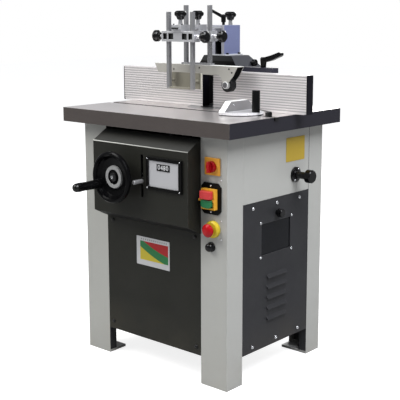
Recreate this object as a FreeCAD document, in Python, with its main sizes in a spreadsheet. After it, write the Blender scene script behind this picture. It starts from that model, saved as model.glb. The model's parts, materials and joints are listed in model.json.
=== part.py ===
import FreeCAD
import Part
import Sketcher
import math
import os

# Floor-standing spindle moulder: sheet-steel cabinet on four corner legs, cast table,
# rise-and-fall spindle, split fence with hood, two-way hold-down and mitre gauge.
# Frame: +Z up, +X to the infeed side, -Y to the operator; origin on the floor at the
# centre of the four floor-bolt holes. Millimetres.

V = FreeCAD.Vector
doc = FreeCAD.newDocument("SpindleMoulder")
sheet = doc.addObject("Spreadsheet::Sheet", "Sizes")


class Dim:
    """A length known both by its formula on the sheet and by its value."""

    def __init__(self, text, value):
        self.text = text
        self.value = float(value)

    def __add__(self, other):
        return Dim("(" + self.text + " + " + txt(other) + ")", self.value + num(other))

    def __radd__(self, other):
        return Dim("(" + txt(other) + " + " + self.text + ")", num(other) + self.value)

    def __sub__(self, other):
        return Dim("(" + self.text + " - " + txt(other) + ")", self.value - num(other))

    def __rsub__(self, other):
        return Dim("(" + txt(other) + " - " + self.text + ")", num(other) - self.value)

    def __mul__(self, other):
        return Dim("(" + self.text + " * " + txt(other) + ")", self.value * num(other))

    def __rmul__(self, other):
        return Dim("(" + txt(other) + " * " + self.text + ")", num(other) * self.value)

    def __truediv__(self, other):
        return Dim("(" + self.text + " / " + txt(other) + ")", self.value / num(other))

    def __neg__(self):
        return Dim("(0 - " + self.text + ")", -self.value)


def num(item):
    return item.value if isinstance(item, Dim) else float(item)


def txt(item):
    return item.text if isinstance(item, Dim) else "(" + format(float(item), ".6f") + ")"


rows = []


def size(alias, value, note):
    row = len(rows) + 1
    rows.append(alias)
    sheet.set("A" + str(row), note)
    sheet.set("B" + str(row), str(value))
    sheet.setAlias("B" + str(row), alias)
    return Dim("Sizes." + alias, value)


# Table and cabinet
tab_w = size("table_width", 744, "table along X")
tab_d = size("table_depth", 594, "table along Y")
tab_t = size("table_rim", 48, "height of the cast rim")
tab_h = size("table_height", 860, "working height above the floor")
tab_skin = size("table_skin", 18, "thickness of the ground top")
tab_wall = size("table_wall", 14, "thickness of the rim and ribs")
tab_ox = size("table_shift_x", -5, "table centre from the cabinet centre")
tab_oy = size("table_shift_y", -5, "table centre from the cabinet centre")
groove_w = size("mitre_slot_width", 20, "mitre slot")
groove_d = size("mitre_slot_depth", 10, "mitre slot")
groove_y = size("mitre_slot_y", -75, "mitre slot centre line")
cab_w = size("cabinet_width", 640, "over the legs along X")
cab_d = size("cabinet_depth", 510, "over the legs along Y")
leg_w = size("leg_front", 107, "leg face seen from the front")
leg_s = size("leg_side", 77, "leg face seen from the side")
lip = size("leg_lip", 30, "folded return of a leg")
gauge = size("sheet_gauge", 3, "folded sheet steel")
foot_t = size("foot_plate", 8, "foot plate in each leg")
foot_in_x = size("foot_bolt_x", 55, "floor bolt from the leg corner")
foot_in_y = size("foot_bolt_y", 40, "floor bolt from the leg corner")
foot_r = size("foot_bolt_radius", 7, "floor bolt hole")
tray = size("panel_tray", 14, "depth of a panel's folded edge")
seam = size("panel_seam", 0.3, "gap around a panel")
sink = size("panel_sink", 1, "panel face behind the leg face")
pan_lo = size("panel_bottom", 93, "panels above the floor")
cover_drop = size("cover_drop", 271, "top of the side covers under the table top")
cov_hi = tab_h - cover_drop
bay_x = cab_w / 2 - leg_w - seam
bay_y = cab_d / 2 - leg_s - seam
roof = tab_h - tab_t - seam
front = cab_d / -2

# Control box, set out from the table top and from its own right edge
box_d = size("box_depth", 60, "control box in front of the legs")
box_face_low_drop = size("box_face_low_drop", 335, "lower edge of the box face under the table top")
box_lo = tab_h - box_face_low_drop
box_face_high_drop = size("box_face_high_drop", 98, "upper edge of the box face under the table top")
box_hi = tab_h - box_face_high_drop
box_back_low_drop = size("box_back_low_drop", 365, "lower edge of the box at the cabinet")
box_back_lo = tab_h - box_back_low_drop
box_back_high_drop = size("box_back_high_drop", 63, "upper edge of the box at the cabinet")
box_back_hi = tab_h - box_back_high_drop
height_slot_inset = size("height_slot_inset", 196.7, "height slot from the right edge of the box")
slit_x = bay_x - height_slot_inset
slit_w = size("height_slot_width", 9, "height slot in the box face")
height_slot_low_drop = size("height_slot_low_drop", 262, "lower end of the height slot")
slit_lo = tab_h - height_slot_low_drop
height_slot_high_drop = size("height_slot_high_drop", 125, "upper end of the height slot")
slit_hi = tab_h - height_slot_high_drop
lock_drop = size("lock_drop", 210, "height lock as shown")
lock_z = tab_h - lock_drop
lock_l = size("lock_length", 40, "height lock in front of the box")
wheel_inset = size("wheel_inset", 288.7, "handwheel axis from the right edge of the box")
wheel_x = bay_x - wheel_inset
wheel_drop = size("wheel_drop", 203, "handwheel axis under the table top")
wheel_z = tab_h - wheel_drop
wheel_r = size("wheel_radius", 85, "handwheel")
wheel_gap = size("wheel_gap", 16, "handwheel boss in front of the box")
rim_d = size("wheel_depth", 40, "handwheel along its axis")
web_t = size("wheel_web", 10, "handwheel web")
hub_r = size("wheel_boss_radius", 24, "handwheel boss")
dial_r = size("wheel_ring_radius", 38, "ring round the handwheel boss")
dial_t = size("wheel_ring_height", 6, "ring round the handwheel boss")
shaft_r = size("wheel_shaft_radius", 10, "handwheel shaft")
cap_r = size("wheel_bolt_radius", 14, "bolt that holds the handwheel")
crank_in = size("crank_inset", 23, "crank handle inside the wheel's rim, along X")
crank_z = size("crank_z", -28, "crank handle from the wheel axis")
crank_x = crank_in - wheel_r
crank_boss = size("crank_boss_radius", 16, "boss under the crank handle")
crank_pin = size("crank_pin_radius", 6, "pin of the crank handle")
crank_l = size("crank_length", 98, "crank handle")
crank_t = size("crank_thick", 15, "radius of the crank handle")
readout_inset = size("readout_inset", 96.7, "readout centre from the right edge of the box")
read_x = bay_x - readout_inset
readout_drop = size("readout_drop", 179, "readout centre under the table top")
read_z = tab_h - readout_drop
read_w = size("readout_width", 150, "readout frame")
read_h = size("readout_height", 105, "readout frame")
read_t = size("readout_depth", 8, "readout frame")
read_rim = size("readout_rim", 11, "readout frame around its plate")

# Electrical controls on the front right leg, set out from its corner
isolator_inset = size("isolator_inset", 57, "isolator centre from the leg corner")
iso_x = cab_w / 2 - isolator_inset
isolator_drop = size("isolator_drop", 143, "isolator centre under the table top")
iso_z = tab_h - isolator_drop
iso_w = size("isolator_width", 60, "isolator plate")
iso_h = size("isolator_height", 54, "isolator plate")
iso_r = size("isolator_knob_radius", 18, "isolator knob")
switch_inset = size("switch_inset", 62, "switch centre from the leg corner")
sw_x = cab_w / 2 - switch_inset
switch_drop = size("switch_drop", 244, "switch centre under the table top")
sw_z = tab_h - switch_drop
but_w = size("button_width", 42, "stop and start buttons")
but_h = size("button_height", 24, "stop and start buttons")
but_gap = size("button_gap", 5, "between the two buttons")
but_step = (but_h + but_gap) / 2
switch_frame_sides = size("switch_frame_sides", 11, "raised switch frame over the buttons")
hood_w = but_w + switch_frame_sides
switch_frame_ends = size("switch_frame_ends", 11, "raised switch frame over the buttons")
hood_h = but_step * 2 + but_h + switch_frame_ends
hood_d = size("switch_hood_depth", 20, "raised switch frame")
switch_plate_sides = size("switch_plate_sides", 26, "switch base plate over the frame")
sw_w = hood_w + switch_plate_sides
switch_plate_ends = size("switch_plate_ends", 35, "switch base plate over the frame")
sw_h = hood_h + switch_plate_ends
estop_inset = size("estop_inset", 54, "emergency stop centre from the leg corner")
es_x = cab_w / 2 - estop_inset
estop_drop = size("estop_drop", 340, "emergency stop centre under the table top")
es_z = tab_h - estop_drop
es_r = size("estop_collar_radius", 27, "emergency stop collar")
es_head = size("estop_head_radius", 21, "emergency stop mushroom")

# Right side fittings
win_w = size("window_width", 157, "belt window opening along Y")
win_h = size("window_height", 104, "belt window opening")
window_drop = size("window_drop", 130, "belt window centre under the cover's top")
win_z = cov_hi - window_drop
win_y = size("window_y", -2, "belt window centre")
win_lap = size("window_lap", 10, "pane over the edge of its opening")
lou_l = size("louvre_length", 100, "cooling louvre")
lou_h = size("louvre_height", 8, "cooling louvre")
lou_out = size("louvre_proud", 8, "pressed hood of a louvre in front of the sheet")
lou_t = size("louvre_sheet", 1.6, "pressed hood of a louvre")
lou_p = size("louvre_pitch", 35.5, "louvre spacing")
lou_n = 5
lou_up = size("louvre_shift", 14, "louvres over the middle of the space under the window")
lou_z = (pan_lo + win_z - win_h / 2 - win_lap) / 2 + lou_up - lou_p * ((lou_n - 1) / 2)
cover_knob_rise = size("cover_knob_rise", 17, "knob on the side cover over the pane")
knob_z = win_z + win_h / 2 + win_lap + cover_knob_rise
plug_y = size("plunger_y", 100, "plunger on the upper side panel")
plunger_drop = size("plunger_drop", 210, "plunger under the table top")
plug_z = tab_h - plunger_drop
plug_r = size("plunger_head_radius", 22, "plunger head")
plug_l = size("plunger_length", 72, "plunger")

# Spindle and lift
sp_y = size("spindle_y", 45, "spindle axis")
sp_r = size("spindle_radius", 15, "spindle")
run = size("running_fit", 0.05, "clearance of a turning shaft")
slip = size("sliding_fit", 0.3, "clearance of a sliding piece")
quill_r = size("quill_radius", 55, "spindle sleeve")
quill_drop = size("quill_drop", 95, "top of the spindle sleeve under the table top")
quill_hi = tab_h - quill_drop
guide_t = size("guide_wall", 12, "wall of the sleeve guide")
guide_drop = size("guide_drop", 220, "lower end of the sleeve guide under the table top")
guide_lo = tab_h - guide_drop
lift_plate_drop = size("lift_plate_drop", 315, "underside of the lift plate under the table top")
plate_z = tab_h - lift_plate_drop
plate_t = size("lift_plate", 12, "lift plate")
pul_h = size("pulley_height", 44, "pulleys")
pulley_gap = size("pulley_gap", 31, "pulleys under the lift plate")
pul_lo = plate_z - pul_h - pulley_gap
pul_r = size("spindle_pulley_radius", 36, "spindle pulley")
motor_inset = size("motor_inset", 130, "motor axis from the side of the cabinet")
mot_x = cab_w / 2 - motor_inset
mot_r = size("motor_radius", 72, "motor body")
mot_h = size("motor_height", 196, "motor body")
mot_cap = size("motor_cap", 44, "fan cowl on top of the motor")
mpul_r = size("motor_pulley_radius", 48, "motor pulley")
mot_sh = size("motor_shaft_radius", 12, "motor shaft")
belt_t = size("belt_thickness", 8, "poly-vee belt")
belt_w = size("belt_width", 26, "poly-vee belt")
nose_drop = size("nose_drop", 3, "top of the spindle under the table top, as shown")
nose_z = tab_h - nose_drop
ring_r = size("ring_radius", 84, "table ring")
ring_t = size("ring_thickness", 8, "table ring")
ring_in = size("ring_hole_radius", 40, "hole of the table ring")
ring_ledge = size("ring_ledge", 8, "ledge under the table ring")
throat_r = ring_r - ring_ledge
screw_y = size("lift_screw_y", -80, "lift screw")
screw_r = size("lift_screw_radius", 10, "lift screw")
screw_tail = size("lift_screw_tail", 90, "lift screw under the lift plate")
screw_cap = size("lift_screw_cap", 24, "upper bearing of the lift screw")
screw_cap_r = size("lift_screw_cap_radius", 18, "upper bearing of the lift screw")

# Fence and hood, set out from the table top
fen_y = size("fence_face_y", 25, "working face of the fence")
fen_t = size("fence_thickness", 33, "fence extrusion along Y")
fen_h = size("fence_height", 125, "fence extrusion")
fen_gap = size("fence_gap", 24, "half of the gap at the spindle")
fen_end = size("fence_end_x", 411, "outer end of a fence from the spindle")
fen_rise = size("fence_rise", 1, "fence above the table")
flute_p = size("flute_pitch", 8.4, "flutes in the fence face")
flute_lo = size("flute_low", 7, "lowest flute over the fence's foot")
flute_w = size("flute_width", 4, "flute")
flute_d = size("flute_depth", 1.6, "flute")
flute_n = int((num(fen_h) - num(flute_lo) - num(flute_w)) / num(flute_p)) + 1
tow_w = size("tower_half_width", 27, "hold-down tower")
tow_y = size("tower_front_y", 80, "hold-down tower")
tow_d = size("tower_depth", 86, "hold-down tower")
tow_t = size("tower_wall", 5, "hold-down tower")
port_r = size("dust_port_radius", 50, "dust outlet")
port_wall = size("dust_port_wall", 4, "dust outlet")
port_l = size("dust_port_length", 46, "dust outlet")
dust_port_rise = size("dust_port_rise", 68, "dust outlet over the table top")
port_z = tab_h + dust_port_rise
hd_w = size("hood_right", 104, "hood body to the right of the spindle")
hd_left = size("hood_left", 80, "hood body to the left of the spindle")
hood_back_margin = size("hood_back_margin", 34, "hood behind the tower")
hd_back = tow_y + tow_d + hood_back_margin
hood_shoulder = size("hood_shoulder", 12, "hood wall over the dust outlet")
hd_z = port_z + port_r + hood_shoulder
hood_roof = size("hood_roof", 44, "tapered roof of the hood")
hd_top = hd_z + hood_roof
hd_top_w = size("hood_top_half", 62, "hood top from the spindle")
hd_wall = size("hood_wall", 8, "hood casting")
rail_end = size("clamp_rail_end", 252, "right fence rail")
rail_h = size("clamp_rail_height", 17, "right fence rail")
rail_d = size("clamp_rail_depth", 32, "right fence rail")
rail_foot = size("clamp_rail_foot", 60, "web of the rail down the back of the fence")
rail_web = size("clamp_rail_web", 8, "web of the rail down the back of the fence")
lev_x = size("fence_lever_x", 199, "fence clamp lever")
fence_lever_back = size("fence_lever_back", 20, "fence clamp lever behind the fence")
lev_y = fen_y + fen_t + fence_lever_back
lev_r = size("fence_lever_hub_radius", 11, "hub of the fence clamp lever")
lev_h = size("fence_lever_hub_height", 34, "hub of the fence clamp lever")
lev_l = size("fence_lever_length", 74, "handle of the fence clamp lever")

# Hold-down, set out from the reach arm
arm_w = size("arm_width", 30, "reach arm")
arm_t = size("arm_thickness", 6, "reach arm")
arm_rise = size("arm_rise", 93.5, "underside of the reach arm over the hood")
arm_z = hd_top + arm_rise
arm_front = size("arm_front_y", -140, "front end of the reach arm")
arm_short = size("arm_short", 8, "reach arm inside the back of the tower")
arm_back = tow_y + tow_d - arm_short
tower_cap = size("tower_cap", 4.8, "tower over the reach arm")
tow_h = arm_z + arm_t - hd_top - slip + tower_cap
rear_y = size("rear_clamp_y", -26, "rear clamp centre")
front_y = size("front_clamp_y", -112, "front clamp centre")
bar_s = size("bar_side", 12, "square bars")
bar_x = size("bar_x", 53, "bars from the spindle line")
clamp_end = size("clamp_end", 19, "clamp channel beyond the bars")
clamp_w = bar_x + clamp_end
clamp_d = size("clamp_depth", 31, "clamp channel")
clamp_h = size("clamp_height", 34, "clamp channel")
arm_over_clamp = size("arm_over_clamp", 6.5, "reach arm over the clamp channel")
clamp_lo = arm_z - clamp_h - arm_over_clamp
pane_h = size("clamp_window_height", 20, "windows in a clamp channel")
pane_d = size("clamp_window_depth", 7, "windows in a clamp channel")
brk_w = size("bracket_width", 44, "arm bracket on a clamp")
brk_d = size("bracket_depth", 42, "arm bracket on a clamp")
brk_h = size("bracket_height", 21, "arm bracket on a clamp")
rear_bar_rise = size("rear_bar_rise", 85, "rear bars over their clamp")
rear_top = clamp_lo + clamp_h + rear_bar_rise
front_bar_rise = size("front_bar_rise", 63, "front bars over their clamp")
front_top = clamp_lo + clamp_h + front_bar_rise
shoe_h = size("shoe_height", 31, "pressure shoe")
shoe_rise = size("shoe_rise", 148, "pressure shoe over the table top")
shoe_top = tab_h + shoe_rise
shoe_lo = shoe_top - shoe_h
shoe_l = size("shoe_half_length", 186, "pressure shoe")
shoe_d = size("shoe_depth", 36, "pressure shoe")
shoe_t = size("shoe_sheet", 3, "pressure shoe")
roll_x = size("roller_x", 136, "shoe roller")
roller_drop = size("roller_drop", 31, "shoe roller under the shoe")
roll_z = shoe_lo - roller_drop
roll_r = size("roller_radius", 23.5, "shoe roller")
roller_play = size("roller_play", 4, "shoe roller between its cheeks")
roll_w = shoe_d - shoe_t * 2 - roller_play
axle_r = size("roller_axle_radius", 5, "shoe roller axle")
axle_cap = size("roller_cap_radius", 12, "caps on the roller axle outside the shoe")
strip_t = size("bar_strip", 6, "strip that joins a pair of bars")
strip_d = size("bar_strip_width", 24, "strip under the shoe bars")
press_plate_back = size("press_plate_back", 26, "press plate behind the front bars")
pad_y = front_y + press_plate_back
pad_t = size("press_plate_sheet", 4, "press plate")
pad_w = size("press_plate_half", 70, "press plate")
press_plate_rise = size("press_plate_rise", 71, "press plate over the table top")
pad_lo = tab_h + press_plate_rise
pad_h = size("press_plate_height", 53, "press plate")
kn_r = size("star_knob_radius", 20, "star knobs")
kn_h = size("star_knob_height", 46, "star knobs over the clamp face")
stud_r = size("star_stud_radius", 5, "star knob studs")
stud_l = size("star_stud_length", 8, "star knob stud in the clamp")

# Mitre gauge, set out from the outer end of its bar
mitre_bar_proud = size("mitre_bar_proud", 5, "gauge bar beyond the table")
mbar_end = tab_w / 2 + tab_ox + mitre_bar_proud
mbar_l = size("mitre_bar_length", 300, "gauge bar")
mitre_inset = size("mitre_inset", 150, "gauge pivot from the end of its bar")
mg_x = mbar_end - mitre_inset
mg_r = size("mitre_radius", 77, "mitre gauge plate")
mg_t = size("mitre_plate", 10, "mitre gauge plate")
mg_thick = size("mitre_block", 23, "mitre gauge block")
mg_face = mg_x - mg_thick
mg_half = size("mitre_half_length", 80, "mitre gauge block along Y")
mg_rake = size("mitre_rake", 36, "raked end of the block")
mg_top = size("mitre_block_height", 33, "mitre gauge block over the plate")
mitre_handle_inset = size("mitre_handle_inset", 11, "gauge handle inside the plate's edge")
mh_x = mg_x + mg_r - mitre_handle_inset
mh_r = size("mitre_handle_radius", 13, "gauge handle")
mh_l = size("mitre_handle_length", 70, "gauge handle")
pivot_r = size("mitre_pivot_radius", 6, "gauge pivot pin")

doc.recompute()


def bind(item, prop, value):
    if isinstance(value, Dim):
        item.setExpression(prop, value.text)


def place(item, x, y, z, turn=None):
    base = V(num(x), num(y), num(z))
    item.Placement = FreeCAD.Placement(base, turn if turn else FreeCAD.Rotation())
    bind(item, "Placement.Base.x", x)
    bind(item, "Placement.Base.y", y)
    bind(item, "Placement.Base.z", z)


nodes = []


def body(label, x=0, y=0, z=0, turn=None):
    item = doc.addObject("PartDesign::Body", label)
    item.Label = label
    place(item, x, y, z, turn)
    nodes.append(item)
    return item


def origin_plane(host, role):
    for feature in host.Origin.OriginFeatures:
        if feature.Role == role:
            return feature
    raise RuntimeError("no plane " + role)


def sketch(host, name, role, offset=0):
    item = host.newObject("Sketcher::SketchObject", name)
    item.AttachmentSupport = [(origin_plane(host, role), "")]
    item.MapMode = "FlatFace"
    item.AttachmentOffset = FreeCAD.Placement(V(0, 0, num(offset)), FreeCAD.Rotation())
    bind(item, "AttachmentOffset.Base.z", offset)
    return item


def hold(item, kind, geo, point, value):
    index = item.addConstraint(Sketcher.Constraint(kind, -1, 1, geo, point, num(value)))
    bind(item, "Constraints[" + str(index) + "]", value)


def loop(item, points):
    first = item.GeometryCount
    count = len(points)
    for i in range(count):
        a = points[i]
        b = points[(i + 1) % count]
        item.addGeometry(Part.LineSegment(V(num(a[0]), num(a[1]), 0), V(num(b[0]), num(b[1]), 0)))
    for i in range(count):
        item.addConstraint(Sketcher.Constraint("Coincident", first + i, 2, first + (i + 1) % count, 1))
    for i in range(count):
        hold(item, "DistanceX", first + i, 1, points[i][0])
        hold(item, "DistanceY", first + i, 1, points[i][1])


def rect(item, x0, y0, x1, y1):
    loop(item, [(x0, y0), (x1, y0), (x1, y1), (x0, y1)])


def ring(item, x, y, r):
    geo = item.addGeometry(Part.Circle(V(num(x), num(y), 0), V(0, 0, 1), num(r)))
    hold(item, "DistanceX", geo, 3, x)
    hold(item, "DistanceY", geo, 3, y)
    index = item.addConstraint(Sketcher.Constraint("Radius", geo, num(r)))
    bind(item, "Constraints[" + str(index) + "]", r)


def pad(host, item, length, back=False):
    feature = host.newObject("PartDesign::Pad", item.Name + "Pad")
    feature.Profile = item
    feature.Length = num(length)
    bind(feature, "Length", length)
    feature.Reversed = back
    return feature


def cut(host, item, length, back=False):
    feature = host.newObject("PartDesign::Pocket", item.Name + "Cut")
    feature.Profile = item
    feature.Length = num(length)
    bind(feature, "Length", length)
    feature.Reversed = back
    return feature


def turned(host, name, points, role="XZ_Plane"):
    item = sketch(host, name, role)
    loop(item, points)
    feature = host.newObject("PartDesign::Revolution", name + "Turn")
    feature.Profile = item
    feature.ReferenceAxis = (item, ["V_Axis"])
    feature.Angle = 360
    return feature


def polar(host, feature, count):
    many = host.newObject("PartDesign::PolarPattern", feature.Name + "Ring")
    many.Originals = [feature]
    for part in host.Origin.OriginFeatures:
        if part.Role == "Z_Axis":
            many.Axis = (part, [""])
    many.Angle = 360
    many.Occurrences = count
    host.Tip = many
    return many


def row(host, feature, role, step, count, flip=False):
    many = host.newObject("PartDesign::LinearPattern", feature.Name + "Row")
    many.Originals = [feature]
    for part in host.Origin.OriginFeatures:
        if part.Role == role:
            many.Direction = (part, [""])
    many.Reversed = flip
    many.Mode = "Spacing"
    many.Offset = num(step)
    bind(many, "Offset", step)
    many.Occurrences = count
    host.Tip = many
    return many


# Turns a piece drawn about Z so that its axis points another way
TO_FRONT = FreeCAD.Rotation(V(1, 0, 0), 90)
TO_RIGHT = FreeCAD.Rotation(V(0, 1, 0), 90)
TO_LEFT = FreeCAD.Rotation(V(0, 1, 0), -90)


# Corner legs: folded angles with returned lips and a bolted foot plate
def leg(label, sx, sy):
    host = body(label, cab_w * (-0.5 * sx), cab_d * (-0.5 * sy), 0)
    item = sketch(host, label + "Fold", "XY_Plane")
    edge = [(0, 0), (leg_w, 0), (leg_w, lip), (leg_w - gauge, lip), (leg_w - gauge, gauge),
            (gauge, gauge), (gauge, leg_s - gauge), (lip, leg_s - gauge), (lip, leg_s), (0, leg_s)]
    loop(item, [(x * sx, y * sy) for x, y in edge])
    pad(host, item, tab_h - tab_t)
    foot = sketch(host, label + "Foot", "XY_Plane")
    rect(foot, gauge * (0.5 * sx), gauge * (0.5 * sy), (leg_w - gauge / 2) * sx, (leg_s - gauge / 2) * sy)
    pad(host, foot, foot_t)
    bolt = sketch(host, label + "Bolt", "XY_Plane")
    ring(bolt, foot_in_x * sx, foot_in_y * sy, foot_r)
    cut(host, bolt, foot_t, True)


leg("leg_front_left", 1, 1)
leg("leg_front_right", -1, 1)
leg("leg_rear_left", 1, -1)
leg("leg_rear_right", -1, -1)


# Folded panels: a face with edges turned inwards
def panel(label, x, y, turn, half, low, high):
    host = body(label, x, y, 0, turn)
    item = sketch(host, label + "Face", "XZ_Plane")
    rect(item, -half, low, half, high)
    pad(host, item, tray, True)
    inner = sketch(host, label + "Tray", "XZ_Plane", -tray)
    rect(inner, gauge - half, low + gauge, half - gauge, high - gauge)
    cut(host, inner, tray - gauge, True)
    return host


UNTURNED = FreeCAD.Rotation()
HALF_TURN = FreeCAD.Rotation(V(0, 0, 1), 180)
FACE_RIGHT = FreeCAD.Rotation(V(0, 0, 1), 90)
FACE_LEFT = FreeCAD.Rotation(V(0, 0, 1), -90)

front_panel = panel("front_panel", 0, sink - cab_d / 2, UNTURNED, bay_x, pan_lo, box_back_lo - seam)
rear_panel = panel("rear_panel", 0, cab_d / 2 - sink, HALF_TURN, bay_x, pan_lo, roof)
left_panel = panel("left_panel", sink - cab_w / 2, 0, FACE_LEFT, bay_y, pan_lo, roof)
panel("right_upper_panel", cab_w / 2 - sink, 0, FACE_RIGHT, bay_y, cov_hi + seam, roof)
right_cover = panel("right_cover", cab_w / 2 - sink, 0, FACE_RIGHT, bay_y, pan_lo, cov_hi - seam)


# Cooling louvres: a hood with closed ends pressed out over each slot, open downwards
def louvres(host, label, count, centre):
    low = lou_z - lou_h / 2
    high = lou_z + lou_h / 2
    top = lou_z + lou_h
    hood = sketch(host, label + "LouvreHood", "YZ_Plane", centre - lou_l / 2 - lou_t)
    loop(hood, [(gauge / 2, top), (0, top), (-lou_out, low + 3), (-lou_out, low), (gauge / 2, low)])
    row(host, pad(host, hood, lou_l + lou_t * 2), "Z_Axis", lou_p, count)
    slot = sketch(host, label + "Louvre", "YZ_Plane", centre - lou_l / 2)
    loop(slot, [(gauge, low), (lou_t - lou_out, low), (lou_t - lou_out, low + 2), (0, high), (gauge, high)])
    row(host, cut(host, slot, lou_l, True), "Z_Axis", lou_p, count)


louvres(right_cover, "Right", lou_n, 0)
louvres(left_panel, "Left", lou_n, 0)
louvres(rear_panel, "Rear", 3, 0)

# Window cut in the right cover, with a clear pane behind it
item = sketch(right_cover, "WindowCut", "XZ_Plane")
rect(item, win_y - win_w / 2, win_z - win_h / 2, win_y + win_w / 2, win_z + win_h / 2)
right_cover.Tip = cut(right_cover, item, gauge)

pane = body("belt_window", cab_w / 2 - sink - gauge, 0, 0, FACE_RIGHT)
item = sketch(pane, "Pane", "XZ_Plane")
rect(item, win_y - win_w / 2 - win_lap, win_z - win_h / 2 - win_lap,
     win_y + win_w / 2 + win_lap, win_z + win_h / 2 + win_lap)
pad(pane, item, gauge, True)

# Knurled knob on the right cover
knob = body("cover_knob", cab_w / 2 - sink, 0, knob_z, TO_RIGHT)
turned(knob, "Grip", [(0, 0.3), (8, 0.3), (8, 8), (14, 9), (14, 24), (12, 26), (0, 26)])
item = sketch(knob, "Knurl", "XY_Plane", 9)
ring(item, 15.6, 0, 2.6)
polar(knob, cut(knob, item, 20, True), 12)

# Pull plunger on the upper right panel
pull = body("plunger", cab_w / 2 - sink, plug_y, plug_z, TO_RIGHT)
turned(pull, "Pull", [(0, 0.3), (13, 0.3), (13, 14), (12, 20), (12, plug_l - 25), (plug_r - 4, plug_l - 25),
                      (plug_r, plug_l - 22), (plug_r, plug_l - 3), (plug_r - 3, plug_l), (0, plug_l)])

# Control box: sloped-top sheet housing between the front legs
face_y = cab_d / -2 - box_d
cbox = body("control_box")
item = sketch(cbox, "BoxSide", "YZ_Plane", -bay_x)
loop(item, [(cab_d / -2, box_back_lo), (face_y, box_lo), (face_y, box_hi), (cab_d / -2, box_back_hi)])
pad(cbox, item, bay_x * 2)
item = sketch(cbox, "BoxInside", "YZ_Plane", gauge - bay_x)
loop(item, [(cab_d / -2 + 1, box_back_lo + gauge), (face_y + gauge, box_lo + gauge),
            (face_y + gauge, box_hi - gauge), (cab_d / -2 + 1, box_back_hi - gauge)])
cut(cbox, item, bay_x * 2 - gauge * 2, True)
item = sketch(cbox, "HeightSlot", "XZ_Plane", -face_y)
rect(item, slit_x - slit_w / 2, slit_lo, slit_x + slit_w / 2, slit_hi)
cut(cbox, item, gauge)
item = sketch(cbox, "ShaftHole", "XZ_Plane", -face_y)
ring(item, wheel_x, wheel_z, shaft_r + run)
cut(cbox, item, gauge)

# Readout: raised frame with a recessed plate
read = body("readout", read_x, face_y, read_z)
item = sketch(read, "ReadFrame", "XZ_Plane")
rect(item, read_w / -2, read_h / -2, read_w / 2, read_h / 2)
pad(read, item, read_t)
item = sketch(read, "ReadPlate", "XZ_Plane", read_t)
rect(item, read_rim - read_w / 2, read_rim - read_h / 2, read_w / 2 - read_rim, read_h / 2 - read_rim)
cut(read, item, 3)

# Isolator on the front right leg
iso = body("isolator_plate", iso_x, front, iso_z)
item = sketch(iso, "IsoPlate", "XZ_Plane")
rect(item, iso_w / -2, iso_h / -2, iso_w / 2, iso_h / 2)
pad(iso, item, 5)
item = sketch(iso, "IsoBore", "XZ_Plane", 5)
ring(item, 0, 0, 6 + run)
cut(iso, item, 5)
turn_knob = body("isolator_knob", iso_x, front, iso_z, TO_FRONT)
turned(turn_knob, "IsoBase", [(0, 0.3), (6, 0.3), (6, 5.3), (iso_r, 5.3), (iso_r, 13), (iso_r - 2, 15),
                              (0, 15)])
item = sketch(turn_knob, "IsoGrip", "XY_Plane", 14)
rect(item, -5, 1 - iso_r, 5, iso_r - 1)
pad(turn_knob, item, 12)

# Start and stop switch
swp = body("switch_plate", sw_x, front, sw_z)
item = sketch(swp, "SwitchPlate", "XZ_Plane")
cx = sw_w / 2
cz = sw_h / 2
loop(item, [(12 - cx, -cz), (cx - 12, -cz), (cx, 12 - cz), (cx, cz - 12), (cx - 12, cz), (12 - cx, cz),
            (-cx, cz - 12), (-cx, 12 - cz)])
pad(swp, item, 4)
item = sketch(swp, "SwitchHood", "XZ_Plane", 4)
rect(item, hood_w / -2, hood_h / -2, hood_w / 2, hood_h / 2)
pad(swp, item, hood_d - 4)
for name, step in (("Stop", but_step), ("Start", -but_step)):
    item = sketch(swp, name + "Well", "XZ_Plane", hood_d)
    rect(item, but_w / -2 - slip, step - but_h / 2 - slip, but_w / 2 + slip, step + but_h / 2 + slip)
    cut(swp, item, 12)


def button(label, step, proud, nip):
    host = body(label, sw_x, front - hood_d + 7, sw_z + step)
    shape = sketch(host, label + "Cap", "XZ_Plane")
    loop(shape, [(but_w / -2, but_h / 2), (but_w / 2, but_h / 2), (but_w / 2, nip - but_h / 2),
                 (but_w / 2 - nip, but_h / -2), (nip - but_w / 2, but_h / -2), (but_w / -2, nip - but_h / 2)])
    pad(host, shape, 7 + proud)


button("stop_button", but_step, 14, 1)
button("start_button", -but_step, 9, 8)

# Emergency stop
collar = body("estop_collar", es_x, front, es_z, TO_FRONT)
turned(collar, "Collar", [(9, 0), (es_r, 0), (es_r, 9), (es_r - 5, 13), (9, 13)])
stop = body("estop_button", es_x, front, es_z, TO_FRONT)
turned(stop, "Mushroom", [(0, 6), (9 - run, 6), (9 - run, 24), (es_head - 2, 24), (es_head, 27),
                          (es_head, 31), (es_head - 6, 37), (es_head - 13, 39), (0, 39.5)])

# Handwheel with a dished web and a ring round the boss, its shaft and its crank handle
hub_y = face_y - wheel_gap
wheel = body("handwheel", wheel_x, hub_y, wheel_z, TO_FRONT)
turned(wheel, "Wheel", [(shaft_r, 0), (hub_r, 0), (hub_r, 8), (wheel_r - 25, 12), (wheel_r - 8, rim_d - 20),
                        (wheel_r - 2, rim_d - 16), (wheel_r, rim_d - 10), (wheel_r - 1, rim_d - 4),
                        (wheel_r - 5, rim_d), (wheel_r - 10, rim_d), (wheel_r - 15, rim_d - 4),
                        (wheel_r - 17, rim_d - 10), (wheel_r - 23, web_t + 12), (dial_r, web_t + 8),
                        (dial_r - 2, web_t + 8 + dial_t), (hub_r + 1, web_t + 8 + dial_t),
                        (hub_r - 1, web_t + 10), (shaft_r, web_t + 10)])
boss = sketch(wheel, "HandleBoss", "XY_Plane", web_t + 6)
ring(boss, crank_x, crank_z, crank_boss)
pad(wheel, boss, rim_d - web_t - 6)
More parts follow.
